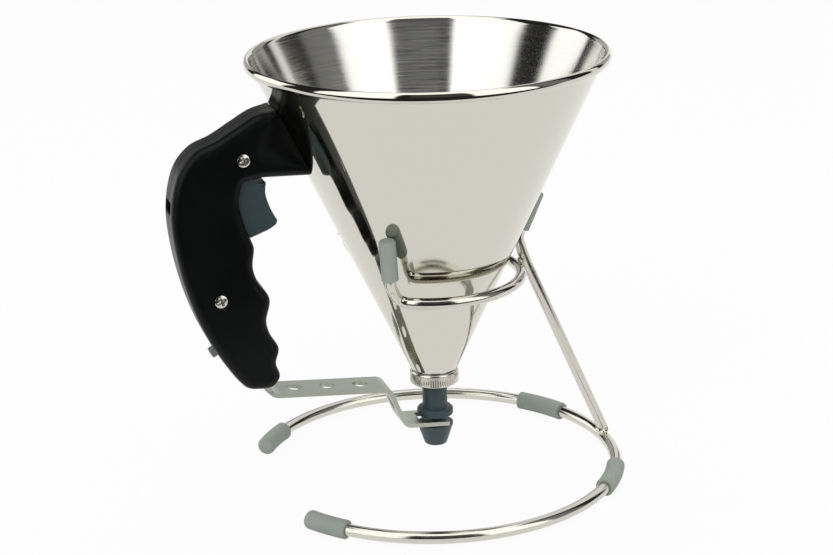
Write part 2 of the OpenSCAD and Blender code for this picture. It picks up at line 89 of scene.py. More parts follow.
# Outlet: the knurled collar, and the nozzle's stem under and inside it.
COLLAR_R = 13.2
COLLAR_LOW_Z, COLLAR_TOP_Z = 51.5, 59.3
COLLAR_WEB = 1.2                # thickness of its inward lip
COLLAR_BORE_R = 9.97
COLLAR_RIBS, RIB_DEPTH = 64, 0.5
STEM_R = 6.75
STEM_GAP = 0.4
STEM_TOP_Z = 63.25
BOSS_R, BOSS_TOP_Z = 4.5, 64.7
FLANGE_R = 9.8
GROOVE_R = 5.9
GROOVE_LOW_Z, GROOVE_TOP_Z = 27.9, 33.0
OUTLET_R = 3.5
PASSAGE_TOP_Z = 60.9
TIP_R, TIP_Z = 6.05, 15.8

# Stand: the base ring with its sleeves and caps, the support ring with its prongs, and the strut.
BASE_R = 98.4
BASE_WIRE_R = 3.25
FOOT_R = 5.0                    # outer radius of the sleeves and end caps that touch the table
BASE_ARC = 135.0                # where the end caps start, from +X both ways
SLEEVE_AT, SLEEVE_LEN = 33.5, 30.0
END_CAP_LEN = 25.0
SUPPORT_R = 47.5
SUPPORT_Z = 112.5
SUPPORT_WIRE_R = 2.9
RING_END, RING_END_ROOM = 128.0, 7.0    # where the ring turns up into its prongs, and its arc's stop before
PRONG_AT = 129.5
PRONG_NECK = (55.2, 122.5)      # radius and height
PRONG_TIP = (57.9, 144.7)
PRONG_BENDS = (3.6, 5.5)        # at the prong's neck and at the ring's end
PRONG_CAP_R, PRONG_CAP_LEN = 4.4, 22.5
PRONG_CAP_Z = 127.0
STRUT_AT = 2.0
STRUT_FOOT = (98.4, 0.0, 10.2)
STRUT_KNEE_Z = 113.6
STRUT_PRONG_Z = (127.5, 148.0)  # foot and tip of the strut's own prong
STRUT_BENDS = (7.0, 4.0)
STRUT_CAP_Z = 132.0
CAP_CLEAR = 0.35                # between the strut's cap and the cone
CAP_EDGE = 1.7                  # rounding of a cap's closed end
CAP_DOME = 0.25
END_CAP_SOLID = 7.5             # length of each cap past the end of its bore
PRONG_CAP_SOLID, STRUT_CAP_SOLID = 4.3, 4.9

# Handle: two half shells, and what is carried between them. Points are (X, Z).
HALF_W = 12.0
EDGE_R = 4.5
SHELL_WALL = 2.5
SHELL_HEART = (-110.0, 0.0, 150.0)      # a place in the middle of the grip
SHELL_COLUMNS, COLUMN_CLEAR = 330, 0.45
SEAM_GAP, SEAM_GROOVE = 0.05, 0.35      # half the gap between the halves; the groove's depth and half width
CONE_GAP = 0.3                  # between the shells and the cone
TRIGGER_PIVOT = (-98.0, 180.0)
TRIGGER_HALF, TRIGGER_EDGE = 7.0, 1.3
LEVER_PIVOT = (-98.5, 72.0)
PIN_BORE_R = 2.06
HUB_R = 3.4
SCREWS = [(-101.5, 188.7), (-117.1, 115.5)]
SCREW_HEAD_R = 3.5
SCREW_BORE_R = 1.75
SCREW_TURN = np.radians(30)
SCREW_RECESS = (4.0, 1.4)       # radius and depth of the hollow round a screw's head
NUT_RECESS = (3.6, 2.4)

BACK_LINE = [
    (-104.9, 64.2), (-112.2, 73.2), (-122.9, 91.3), (-131.2, 111.8), (-137.3, 137.0), (-139.4, 162.0),
    (-135.2, 182.4), (-126.3, 193.7), (-114.6, 198.8), (-103.5, 205.0), (-93.8, 210.2), (-83.6, 212.8),
]
FRONT_LINE = [
    (-101.9, 176.6), (-104.4, 166.0), (-102.0, 153.6), (-99.2, 146.0), (-97.7, 140.6), (-98.8, 131.0),
    (-96.6, 122.8), (-90.8, 112.7), (-93.1, 101.2), (-91.4, 93.0), (-87.3, 85.1), (-89.1, 77.0),
    (-87.3, 69.5), (-91.3, 64.2), (-97.5, 63.4),
]
FOOT_BEND = 3.6
BRIDGE_TOP_END = (-62.0, 217.0)
BRIDGE_LOW_END = (-58.0, 176.4)
BRIDGE_CORNER = (-91.5, 178.0)
# Each opening on the seam: its first and last place along the outline, and half its width.
OPENINGS = [
    ((-91.9, 178.0), (-99.2, 144.8), 7.4),      # the trigger's mouth
    ((-92.1, 64.1), (-101.5, 63.9), 9.35),      # the lever's slot
    ((-118.2, 82.8), (-120.9, 87.6), 2.7),      # the lock button's hole
    ((-139.4, 162.6), (-139.2, 168.1), 6.0),    # a slot in the spine
]
LEVER_SLOT_EDGE = 23.6          # where the lever's slot ends on the rounded edge

LEVER_LINE = [LEVER_PIVOT, (-95.0, 62.6), (-90.5, 58.7), (-28.0, 53.3), (-19.2, 31.4), (5.5, 29.4)]
LEVER_BENDS = [2.6, 2.6, 3.2, 3.4]
LEVER_W, LEVER_T = 19.5, 2.3
LEVER_HOLES_X = [-78.4, -60.4, -42.2, -23.9]
LEVER_HOLE_R = 4.0
NECK_W, NECK_START, NECK_END_X = 16.0, 2.7, -92.5
FORK_SLOT_W = 12.9
FORK_SLOT_X = -10.4
HUB_HALF = 8.7
ARM_TOP = (-109.3, 157.0)
ARM_W, ARM_T = 12.0, 1.5

SPRING_X = (-109.0, -134.5)     # at the lever's arm, and fixed in the spine
SPRING_Z, SPRING_R, SPRING_WIRE_R = 140.0, 3.6, 0.55
SPRING_TURNS = 7

LOCK_AT = (-119.6, 85.2)
LOCK_TURN = np.radians(29.3)
LOCK_SIDE, LOCK_OUT, LOCK_IN = 5.0, 3.0, 7.0


def cone_r(z):
    """Radius of the cone's outer face at height z."""
    return WALL_TOP_R + (z - RIM_Z) * CONE_SLOPE


# ---- Lines ----


def smooth_line(points, steps):
    """Catmull-Rom curve through the points: a cubic between each two, with slopes from their neighbours."""
    p = np.array(points, float)
    p = np.vstack([p[:1], p, p[-1:]])
    a, b, c, d = (p[i:len(p) - 3 + i, None] for i in range(4))
    t = (np.arange(steps) / steps)[None, :, None]
    cubic = 2 * b + (c - a) * t + (2 * a - 5 * b + 4 * c - d) * t**2 + (3 * b - a - 3 * c + d) * t**3
    return np.vstack([cubic.reshape(-1, p.shape[1]) / 2, p[-1:]])


def bent_line(points, bends, steps):
    """Straight stretches joined by bends: each inner corner becomes a quadratic arc that starts and ends
    at its bend's distance from the corner."""
    p = [np.array(q, float) for q in points]
    parts = [p[0][None]]
    for before, corner, after, bend in zip(p, p[1:], p[2:], bends):
        u = (before - corner) / np.linalg.norm(before - corner)
        v = (after - corner) / np.linalg.norm(after - corner)
        t = np.linspace(0, 1, steps + 1)[:, None]
        start, end = corner + u * bend, corner + v * bend
        parts.append((1 - t) ** 2 * start + 2 * t * (1 - t) * corner + t**2 * end)
    return np.vstack(parts + [p[-1][None]])


def arc_line(radius, z, low, high, steps):
    """Arc about the axis: (radius cos a, radius sin a, z) for a from low to high degrees."""
    a = np.radians(np.linspace(low, high, steps))
    return np.stack([radius * np.cos(a), radius * np.sin(a), np.full(steps, float(z))], axis=-1)


def around(steps):
    """Angles once round, without the last one, which is the first again."""
    return np.linspace(0, 2 * np.pi, steps, endpoint=False)


def polar(radius, angle, z):
    """One point by radius, angle in degrees and height."""
    a = np.radians(angle)
    return np.array([radius * np.cos(a), radius * np.sin(a), z])


def run_of(line):
    """Distance along a line at each of its points."""
    return np.concatenate([[0.0], np.cumsum(np.linalg.norm(np.diff(line, axis=0), axis=1))])


def along_values(values, run, s):
    """Values given at the distances run, read at the distances s."""
    return np.stack([np.interp(s, run, values[:, k]) for k in range(values.shape[1])], axis=-1)


def along(line, s):
    """Points of a line at distances s along it."""
    return along_values(line, run_of(line), s)


def evenly(line, count):
    """The same line with count points, evenly spaced."""
    return along(line, np.linspace(0, run_of(line)[-1], count))


def unit(v):
    """Vectors brought to length 1."""
    return v / np.maximum(np.linalg.norm(v, axis=-1, keepdims=True), 1e-12)


def slopes_of(line, run):
    """Unit direction of a line at each of its points."""
    return unit(np.gradient(line, run, axis=0))


# ---- Surfaces: each gives points and faces ----

INSIDE_ONLY, SAME_POINT = 1, 1e-5   # a flat patch keeps its inside, and points this near are one


def grid_faces(rows, columns, closed_rows=False, closed_columns=False, keep=None):
    """Quads of a grid of points, (i, j), (i, j+1), (i+1, j+1), (i+1, j), wrapped where it is closed."""
    i, j = np.meshgrid(
        np.arange(rows if closed_rows else rows - 1),
        np.arange(columns if closed_columns else columns - 1),
        indexing="ij",
    )
    if keep is not None:
        i, j = i[keep], j[keep]
    i, j = i.ravel(), j.ravel()
    i1, j1 = (i + 1) % rows, (j + 1) % columns
    return np.stack([i * columns + j, i * columns + j1, i1 * columns + j1, i1 * columns + j], axis=-1)


def turned(profile, steps=128, ribs=None, closed=False):
    """Surface of revolution: (r cos t, r sin t, z) over the profile's (r, z) and t once round.
    ribs(r, t) may change the radius."""
    r, z = np.array(profile, float).T[:, :, None]
    t = around(steps)[None, :]
    r = ribs(r, t) if ribs else np.broadcast_to(r, (len(r), steps))
    points = np.stack([r * np.cos(t), r * np.sin(t), np.broadcast_to(z, r.shape)], axis=-1)
    return points.reshape(-1, 3), grid_faces(len(r), steps, closed_rows=closed, closed_columns=True)


def carried(profile, line, sides=32):
    """A round section carried along a line: at distance s along it, a circle of radius r in the plane
    across it, for each (s, r) of the profile. The circle's zero angle points away from the axis."""
    s, r = np.array(profile, float).T
    run = run_of(line)
    on_line = np.clip(s, 0, run[-1])
    forward = unit(along_values(slopes_of(line, run), run, s))
    centre = along(line, on_line) + forward * (s - on_line)[:, None]
    outward = unit(centre * [1, 1, 0])
    side = unit(np.cross(forward, outward))
    up = np.cross(side, forward)
    t = around(sides)[None, :, None]
    ring = centre[:, None] + r[:, None, None] * (np.cos(t) * up[:, None] + np.sin(t) * side[:, None])
    return ring.reshape(-1, 3), grid_faces(len(s), sides, closed_columns=True)


def hole_size(hole):
    """Centre and radius of a round hole given by its points."""
    centre = hole.mean(axis=0)
    return centre, np.linalg.norm(hole[0] - centre)


def flat_patch(outline, holes=(), inner=None):
    """Triangles that fill a closed outline, with round holes left out; inner gives points within it."""
    loops, points, start = [], [], 0
    for loop in (np.array(outline, float), *holes):
        loops.append(start + np.arange(len(loop)))
        points.append(loop)
        start += len(loop)
    if inner is not None:
        points.append(inner)
    edges = np.vstack([np.stack([loop, np.roll(loop, -1)], axis=-1) for loop in loops])
    found = delaunay_2d_cdt(
        [Vector(q) for q in np.vstack(points)], edges.tolist(), [loops[0].tolist()], INSIDE_ONLY, SAME_POINT,
    )
    corners, triangles = np.array([tuple(v) for v in found[0]]), np.array(found[2])
    for hole in holes:
        centre, radius = hole_size(hole)
        middles = corners[triangles].mean(axis=1)
        triangles = triangles[np.linalg.norm(middles - centre, axis=1) > radius]
    return corners, triangles


def ring_points(centre, radius, steps=40):
    """Points of a circle in a plane."""
    t = around(steps)
    return np.stack([centre[0] + radius * np.cos(t), centre[1] + radius * np.sin(t)], axis=-1)


def in_xz(flat, y):
    """Points (x, z) of a plane put at width y."""
    return np.stack([flat[:, 0], np.broadcast_to(y, len(flat)), flat[:, 1]], axis=-1)


def rounded_slab(outline, half, edge, bores=(), steps=6):
    """A flat plate with rounded edges: at edge angle a the outline moves in by edge (1 - cos a) at width
    half - edge + edge sin a. Each bore (x, z, r) goes right through."""
    outline = np.array(outline, float)
    x, z = outline.T
    area = np.sum(x * np.roll(z, -1) - z * np.roll(x, -1))
    t = unit(np.roll(outline, -1, axis=0) - np.roll(outline, 1, axis=0))
    inward = np.sign(area) * np.stack([-t[:, 1], t[:, 0]], axis=-1)
    a = np.radians(np.linspace(0, 90, steps + 1))
    depth = np.concatenate([edge * (1 - np.cos(a[::-1])), edge * (1 - np.cos(a))])
    width = np.concatenate([-(half - edge + edge * np.sin(a[::-1])), half - edge + edge * np.sin(a)])
    flat = outline[None] + depth[:, None, None] * inward[None]
    rows, columns = flat.shape[:2]
    y = np.broadcast_to(width[:, None], (rows, columns))
    sheet = np.stack([flat[..., 0], y, flat[..., 1]], axis=-1).reshape(-1, 3)
    surfaces = [(sheet, grid_faces(rows, columns, closed_columns=True))]
    circles = [ring_points(b[:2], b[2]) for b in bores]
    for side in (-1, 1):
        corners, triangles = flat_patch(flat[0], circles)
        surfaces.append((in_xz(corners, side * half), triangles))
    for circle in circles:
        wall = np.stack([in_xz(circle, -half), in_xz(circle, half)])
        surfaces.append((wall.reshape(-1, 3), grid_faces(2, len(circle), closed_columns=True)))
    return joined(surfaces)


def joined(surfaces):
    """Several surfaces as one set of points, with their faces as a list of grids or triangles."""
    points, faces, start = [], [], 0
    for p, groups in surfaces:
        points.append(p)
        faces += [f + start for f in (groups if isinstance(groups, list) else [groups])]
        start += len(p)
    return np.vstack(points), faces


def read_faces(mesh, what):
    """A vector of each face, such as its centre or its normal, as an array."""
    values = np.empty(len(mesh.polygons) * 3)
    mesh.polygons.foreach_get(what, values)
    return values.reshape(-1, 3)


def placed(name, data):
    """A new object in the scene, with its mesh, lamp or camera."""
    piece = bpy.data.objects.new(name, data)
    bpy.context.scene.collection.objects.link(piece)
    return piece


def make_piece(name, surface, material, body, node, sharp=50):
    """Puts a surface in a mesh, in metres at the frame's axis, merges its seams and turns its faces out.
    Edges that turn by more than sharp degrees stay sharp. The piece rides on a body and stands for a
    CAD node, which it hides."""
    points, faces = surface
    faces = sum((f.tolist() for f in faces), []) if isinstance(faces, list) else faces.tolist()
    mesh = bpy.data.meshes.new(name)
    mesh.from_pydata((points * MM + AXIS).tolist(), [], faces)
    work = bmesh.new()
    work.from_mesh(mesh)
    bmesh.ops.remove_doubles(work, verts=work.verts, dist=MERGE)
    bmesh.ops.dissolve_degenerate(work, edges=work.edges, dist=NO_LENGTH)
    bmesh.ops.recalc_face_normals(work, faces=work.faces)
    work.to_mesh(mesh)
    work.free()
    mesh.shade_smooth()
    mesh.set_sharp_from_angle(angle=np.radians(sharp))
    mesh.materials.append(material)
    piece = placed(name, mesh)
    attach(piece, body)
    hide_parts(node)
    return piece


# ---- Materials ----


def new_material(name):
    """An empty node material with its surface shader."""
    material = bpy.data.materials.new(name)
    material.use_nodes = True
    nodes = material.node_tree.nodes
    return material, nodes, material.node_tree.links, nodes["Principled BSDF"]


def new_metal(name):
    """A node material whose shader is a metal."""
    material, nodes, links, shader = new_material(name)
    shader.inputs["Metallic"].default_value = 1.0
    return material, nodes, links, shader


def object_place(nodes, links, scale=(1, 1, 1)):
    """Object coordinates centred on the funnel's axis and stretched by scale."""
    place = nodes.new("ShaderNodeTexCoord")
    mapping = nodes.new("ShaderNodeMapping")
    mapping.vector_type = "POINT"
    mapping.inputs["Location"].default_value = [-AXIS[0] * scale[0], 0, 0]
    mapping.inputs["Scale"].default_value = scale
    links.new(place.outputs["Object"], mapping.inputs["Vector"])
    return mapping.outputs["Vector"]


def noise_at(nodes, links, vector, scale=1.0, detail=2.0, roughness=0.5):
    """Cloudy noise, from about 0.3 to 0.7, at a vector."""
    noise = nodes.new("ShaderNodeTexNoise")
    noise.inputs["Scale"].default_value = scale
    noise.inputs["Detail"].default_value = detail
    noise.inputs["Roughness"].default_value = roughness
    links.new(vector, noise.inputs["Vector"])
    return noise.outputs["Fac"]


def ranged(nodes, links, value, low, high, to_low=0.0, to_high=1.0, smooth=False):
    """A value stretched from one range to another, and held at its ends; smooth eases it into them."""
    fit = nodes.new("ShaderNodeMapRange")
    if smooth:
        fit.interpolation_type = "SMOOTHSTEP"
    for socket, number in zip(("From Min", "From Max", "To Min", "To Max"), (low, high, to_low, to_high)):
        fit.inputs[socket].default_value = number
    links.new(value, fit.inputs["Value"])
    return fit.outputs["Result"]


def uneven_roughness(nodes, links, shader, noise, low, high):
    """Roughness that follows a noise between two values."""
    links.new(ranged(nodes, links, noise, 0.3, 0.7, low, high), shader.inputs["Roughness"])


def two_colours(nodes, links, shader, factor, first, second):
    """Base colour between two, by a factor."""
    mix = nodes.new("ShaderNodeMix")
    mix.data_type = "RGBA"
    mix.inputs["A"].default_value = (*first, 1)
    mix.inputs["B"].default_value = (*second, 1)
    links.new(factor, mix.inputs["Factor"])
    links.new(mix.outputs["Result"], shader.inputs["Base Color"])


def bumped(nodes, links, shader, height, strength, distance):
    """Bump by a height from 0 to 1, which stands for a distance in metres."""
    bump = nodes.new("ShaderNodeBump")
    bump.inputs["Strength"].default_value = strength
    bump.inputs["Distance"].default_value = distance
    links.new(height, bump.inputs["Height"])
    links.new(bump.outputs["Normal"], shader.inputs["Normal"])


def worked(nodes, links, operation, *values):
    """A maths node on numbers or sockets."""
    node = nodes.new("ShaderNodeMath")
    node.operation = operation
    for socket, value in zip(node.inputs, values):
        if isinstance(value, (int, float)):
            socket.default_value = value
        else:
            links.new(value, socket)
    return node.outputs[0]


def round_the_axis(nodes, links):
    """Direction round the funnel's axis, (-y, x, 0), from object coordinates."""
    cross = nodes.new("ShaderNodeVectorMath")
    cross.operation = "CROSS_PRODUCT"
    cross.inputs[0].default_value = (0, 0, 1)
    links.new(object_place(nodes, links), cross.inputs[1])
    return cross.outputs["Vector"]


def polar_place(nodes, links, turn_scale, height_scale):
    """A vector of (angle round the axis times turn_scale, height times height_scale, 0)."""
    split = nodes.new("ShaderNodeSeparateXYZ")
    links.new(object_place(nodes, links), split.inputs["Vector"])
    angle = worked(nodes, links, "ARCTAN2", split.outputs["Y"], split.outputs["X"])
    join = nodes.new("ShaderNodeCombineXYZ")
    links.new(worked(nodes, links, "MULTIPLY", angle, turn_scale), join.inputs["X"])
    links.new(worked(nodes, links, "MULTIPLY", split.outputs["Z"], height_scale), join.inputs["Y"])
    return join.outputs["Vector"]


def mirror_steel():
    """Polished sheet steel: a clear mirror with faint long waves from rolling."""
    material, nodes, links, shader = new_metal("mirror_steel")
    shader.inputs["Base Color"].default_value = (0.62, 0.606, 0.53, 1)
    shader.inputs["Roughness"].default_value = 0.055
    waves = noise_at(nodes, links, polar_place(nodes, links, 3.0, 6.0), detail=1.0)
    bumped(nodes, links, shader, waves, 0.15, 0.0006)
    return material


def brushed_steel():
    """Sheet steel brushed round the axis: fine lines, and highlights drawn out up and down the wall."""
    material, nodes, links, shader = new_metal("brushed_steel")
    shader.inputs["Anisotropic"].default_value = 1.0
    shader.inputs["Anisotropic Rotation"].default_value = 0.25
    links.new(round_the_axis(nodes, links), shader.inputs["Tangent"])
    lines = noise_at(nodes, links, polar_place(nodes, links, 3.0, 1100.0), detail=4.0, roughness=0.7)
    two_colours(nodes, links, shader, lines, (0.50, 0.495, 0.46), (0.86, 0.85, 0.795))
    uneven_roughness(nodes, links, shader, lines, 0.14, 0.22)
    bumped(nodes, links, shader, lines, 0.22, 0.00006)
    return material


def wire_steel():
    """Polished wire: bright, with a little uneven polish in its gloss and bump."""
    material, nodes, links, shader = new_metal("wire_steel")
    shader.inputs["Base Color"].default_value = (0.61, 0.595, 0.525, 1)
    polish = noise_at(nodes, links, object_place(nodes, links), 160.0, detail=3.0)
    uneven_roughness(nodes, links, shader, polish, 0.10, 0.18)
    bumped(nodes, links, shader, polish, 0.05, 0.0002)
    return material


def turned_steel():
    """Machined steel for the collar, screws and pins: turning marks, level lines in its gloss."""
    material, nodes, links, shader = new_metal("turned_steel")
    shader.inputs["Base Color"].default_value = (0.64, 0.62, 0.56, 1)
    marks = noise_at(nodes, links, object_place(nodes, links, (40, 40, 3000)))
    uneven_roughness(nodes, links, shader, marks, 0.16, 0.28)
    return material


def strip_steel():
    """Cold-rolled strip: satin, with fine marks that run along the lever."""
    material, nodes, links, shader = new_metal("strip_steel")
    marks = noise_at(nodes, links, object_place(nodes, links, (60, 2600, 60)), detail=3.0)
    two_colours(nodes, links, shader, marks, (0.46, 0.48, 0.41), (0.53, 0.55, 0.475))
    uneven_roughness(nodes, links, shader, marks, 0.40, 0.50)
    bumped(nodes, links, shader, marks, 0.15, 0.0001)
    return material


def moulded_plastic(name, colour, paler, roughness, grain=2200.0, gloss=0.5):
    """Moulded plastic or rubber: fine spark-eroded grain in its bump, and broad patches that are slightly
    paler and duller."""
    material, nodes, links, shader = new_material(name)
    shader.inputs["Specular IOR Level"].default_value = gloss
    place = object_place(nodes, links)
    fine = noise_at(nodes, links, place, grain)
    broad = noise_at(nodes, links, place, 45.0, detail=3.0)
    two_colours(nodes, links, shader, ranged(nodes, links, broad, 0.35, 0.75), colour, paler)
    uneven_roughness(nodes, links, shader, broad, roughness - 0.03, roughness + 0.05)
    bumped(nodes, links, shader, fine, 0.35, 0.00012)
    return material


RUBBER_GRAIN = 1500.0
MIRROR = mirror_steel()
BRUSHED = brushed_steel()
WIRE = wire_steel()
TURNED = turned_steel()
STRIP = strip_steel()
BLACK = moulded_plastic(
    "black_shell_plastic", (0.0020, 0.0028, 0.0027), (0.0026, 0.0034, 0.0032), 0.34, gloss=0.15,
)
SLATE = moulded_plastic("slate_plastic", (0.026, 0.050, 0.054), (0.033, 0.060, 0.065), 0.42)
BUTTON = moulded_plastic("button_plastic", (0.15, 0.19, 0.185), (0.18, 0.22, 0.215), 0.42)
NYLON = moulded_plastic("nylon", (0.70, 0.68, 0.60), (0.76, 0.74, 0.67), 0.45)
GREY_RUBBER = moulded_plastic(
    "grey_rubber", (0.300, 0.345, 0.300), (0.340, 0.390, 0.340), 0.62, grain=RUBBER_GRAIN,
)
SEAL = moulded_plastic("seal_rubber", (0.02, 0.02, 0.02), (0.03, 0.03, 0.03), 0.6, grain=RUBBER_GRAIN)

# ---- Hopper ----


def make_hopper():
    """The cone with its rolled hem, turned from one closed profile; the inside has its own finish, up to
    the hem's shoulder. The hem's section is a leaning oval, |x / a|^n + |z / b|^n = 1."""
    a = np.radians(np.linspace(*HEM_SPAN, 48))
    x = HEM_HALF[0] * np.sign(np.cos(a)) * np.abs(np.cos(a)) ** (2 / HEM_POWER)
    z = HEM_HALF[1] * np.sign(np.sin(a)) * np.abs(np.sin(a)) ** (2 / HEM_POWER)
    c, s = np.cos(HEM_LEAN), np.sin(HEM_LEAN)
    hem = np.stack([HEM_AT[0] + x * c + z * s, HEM_AT[1] + z * c - x * s], axis=-1)
    inner_z = np.linspace(HOPPER_FOOT_Z, INNER_TOP_Z, 28)
    inner = np.stack([cone_r(inner_z) - WALL_H, inner_z], axis=-1)
    outer_z = np.linspace(OUTER_TOP_Z, HOPPER_FOOT_Z, 28)
    outer = np.stack([cone_r(outer_z), outer_z], axis=-1)
    profile = np.vstack([inner, hem, outer])
    piece = make_piece(
        "hopper_cone", turned(profile, steps=360, closed=True), MIRROR, "funnel", "hopper",
    )
    piece.data.materials.append(BRUSHED)
    x, y, z = ((read_faces(piece.data, "center") - AXIS) / MM).T
    inside = (np.hypot(x, y) < cone_r(z) - WALL_H / 2) & (z < HEM_SHOULDER_Z)
    piece.data.polygons.foreach_set("material_index", inside.astype(np.int32))


# ---- Outlet ----


def make_collar():
    """Knurled ring nut: a turned profile whose outer radius rises and falls once for each rib."""
    r, low, top, lip = COLLAR_R, COLLAR_LOW_Z, COLLAR_TOP_Z, STEM_R + STEM_GAP
    profile = [
        (lip, low), (r - 1.3, low), (r - 0.7, low + 0.25), (r - 0.45, low + 0.8),
        (r, low + 0.9), (r, top - 1.5), (r - 0.5, top - 1.4), (r - 0.5, top - 1.2), (r - 0.8, top - 0.5),
        (r - 1.9, top), (COLLAR_BORE_R, top), (COLLAR_BORE_R, low + COLLAR_WEB), (lip, low + COLLAR_WEB),
    ]

    def ribs(radius, turn):
        knurled = radius > r - 0.2
        wave = 0.5 - 0.5 * np.cos(COLLAR_RIBS * turn)
        return radius - RIB_DEPTH * knurled * np.clip((wave - 0.35) / 0.3, 0, 1)

    ring = turned(profile, steps=COLLAR_RIBS * 12, ribs=ribs, closed=True)
    make_piece("collar_ring", ring, TURNED, "collar", "collar")


def make_nozzle():
    """Stem with a blind passage, flange, groove and tapered spout, turned with eased edges. A boss on top
    carries the valve's head."""
    corners = [
        (0.0, PASSAGE_TOP_Z), (OUTLET_R, PASSAGE_TOP_Z), (OUTLET_R, TIP_Z), (TIP_R, TIP_Z),
        (9.7, 26.8), (9.7, GROOVE_LOW_Z), (GROOVE_R, GROOVE_LOW_Z), (GROOVE_R, GROOVE_TOP_Z),
        (FLANGE_R, GROOVE_TOP_Z), (FLANGE_R, 36.1), (8.4, 37.3), (STEM_R, 37.3),
        (STEM_R, STEM_TOP_Z), (BOSS_R, STEM_TOP_Z), (BOSS_R, BOSS_TOP_Z), (0.0, BOSS_TOP_Z),
    ]
    bends = [0.3, 0.5, 0.8, 0.5, 0.3, 0.3, 0.3, 0.3, 0.4, 0.4, 0.5, 0.2, 0.2, 0.3]
    spout = turned(bent_line(corners, bends, 6), steps=96)
    make_piece("nozzle_spout", spout, SLATE, "valve", "nozzle", sharp=40)


def make_valve_head():
    """Low domed head, hollow underneath where it is pressed on the stem's boss."""
    bore, floor, foot = BOSS_R + FIT, BOSS_TOP_Z + FIT, STEM_TOP_Z + FIT
    profile = [
        (0.0, floor), (bore, floor), (bore, foot), (9.0, foot), (9.2, 63.5), (9.2, 64.7), (8.9, 65.0),
        (6.4, 67.4), (3.4, 68.5), (1.2, 68.85), (0.0, 68.9),
    ]
    dome = turned(profile, steps=96)
    make_piece("valve_dome", dome, TURNED, "valve", "valve_head", sharp=30)


# ---- Handle ----


def grip_line():
    """The handle's outline from the bridge's underside down the front, round the foot, up the back and
    over the bridge's top, as one open line that starts and ends inside the cone."""
    front = smooth_line(FRONT_LINE, 10)
    back = smooth_line(BACK_LINE, 10)
    underside = np.linspace(BRIDGE_LOW_END, BRIDGE_CORNER, 12)
    into_front = np.linspace(BRIDGE_CORNER, FRONT_LINE[0], 6)[1:-1]
    past_bend = 6
    foot = bent_line([FRONT_LINE[-1], BACK_LINE[0], back[past_bend]], [FOOT_BEND], 9)[1:-1]
    top = np.linspace(BACK_LINE[-1], BRIDGE_TOP_END, 8)[1:]
    return np.vstack([underside, into_front, front, foot, back[past_bend:], top])


def station(line, place):
    """Distance along a line of its point nearest to a place."""
    return run_of(line)[np.argmin(np.linalg.norm(line - np.array(place), axis=1))]


def on_cone(z, y):
    """X of the place where the shells meet the cone, a gap outside it, at height z and width y."""
    return -np.sqrt((cone_r(z) + CONE_GAP) ** 2 - y**2)


def cut_at_cone(rows, y):
    """Ends each row on the cone's wall: its end stretch goes on past the wall, and the place where it
    passes through is found by halving."""
    long_enough, halvings = 22.0, 40
    for end, inner in ((0, 1), (-1, -2)):
        outside = rows[:, inner].copy()
        inside = outside + unit(rows[:, end] - outside) * long_enough
        for _ in range(halvings):
            half = (outside + inside) / 2
            beyond = (half[:, 0] > on_cone(half[:, 1], y))[:, None]
            inside = np.where(beyond, half, inside)
            outside = np.where(beyond, outside, half)
        rows[:, end] = outside
    return rows


def shell_stations(line, marks):
    """Distances along the outline for the shell's columns: even ones, with one at each opening's end."""
    even = np.linspace(0, run_of(line)[-1], SHELL_COLUMNS)
    clear = np.min(np.abs(even[:, None] - marks[None]), axis=1) > COLUMN_CLEAR
    return np.sort(np.concatenate([even[clear], marks]))


def shell_section():
    """Width and depth of the shell's rows, from the seam's groove over the rounded edge to the flat side:
    at edge angle a, EDGE_R (1 - cos a) deep at width HALF_W - EDGE_R + EDGE_R sin a."""
    a = np.radians(np.sort(np.append(np.linspace(0, 90, 10), LEVER_SLOT_EDGE)))
    flat_rows = [SEAM_GAP, SEAM_GROOVE, 1.5, 2.7, 6.0, 7.4]
    width = np.concatenate([flat_rows, HALF_W - EDGE_R + EDGE_R * np.sin(a), [HALF_W]])
    depth = np.concatenate([[SEAM_GROOVE], np.zeros(5), EDGE_R * (1 - np.cos(a)), [EDGE_R + 0.4]])
    return width, depth


def screw_hollows(side):
    """Hollows in the shell's flat side, for screw heads on one half and nuts on the other: their circles
    in the side, and their walls and floors as surfaces."""
    radius, depth = SCREW_RECESS if side < 0 else NUT_RECESS
    circles = [ring_points(at, radius) for at in SCREWS]
    top, floor = side * HALF_W, side * (HALF_W - depth)
    cups = []
    for at, circle in zip(SCREWS, circles):
        bore = ring_points(at, SCREW_BORE_R)
        cup = np.stack([in_xz(circle, top), in_xz(circle, floor), in_xz(bore, floor)])
        cups.append((cup.reshape(-1, 3), grid_faces(3, len(circle), closed_columns=True)))
    return circles, cups


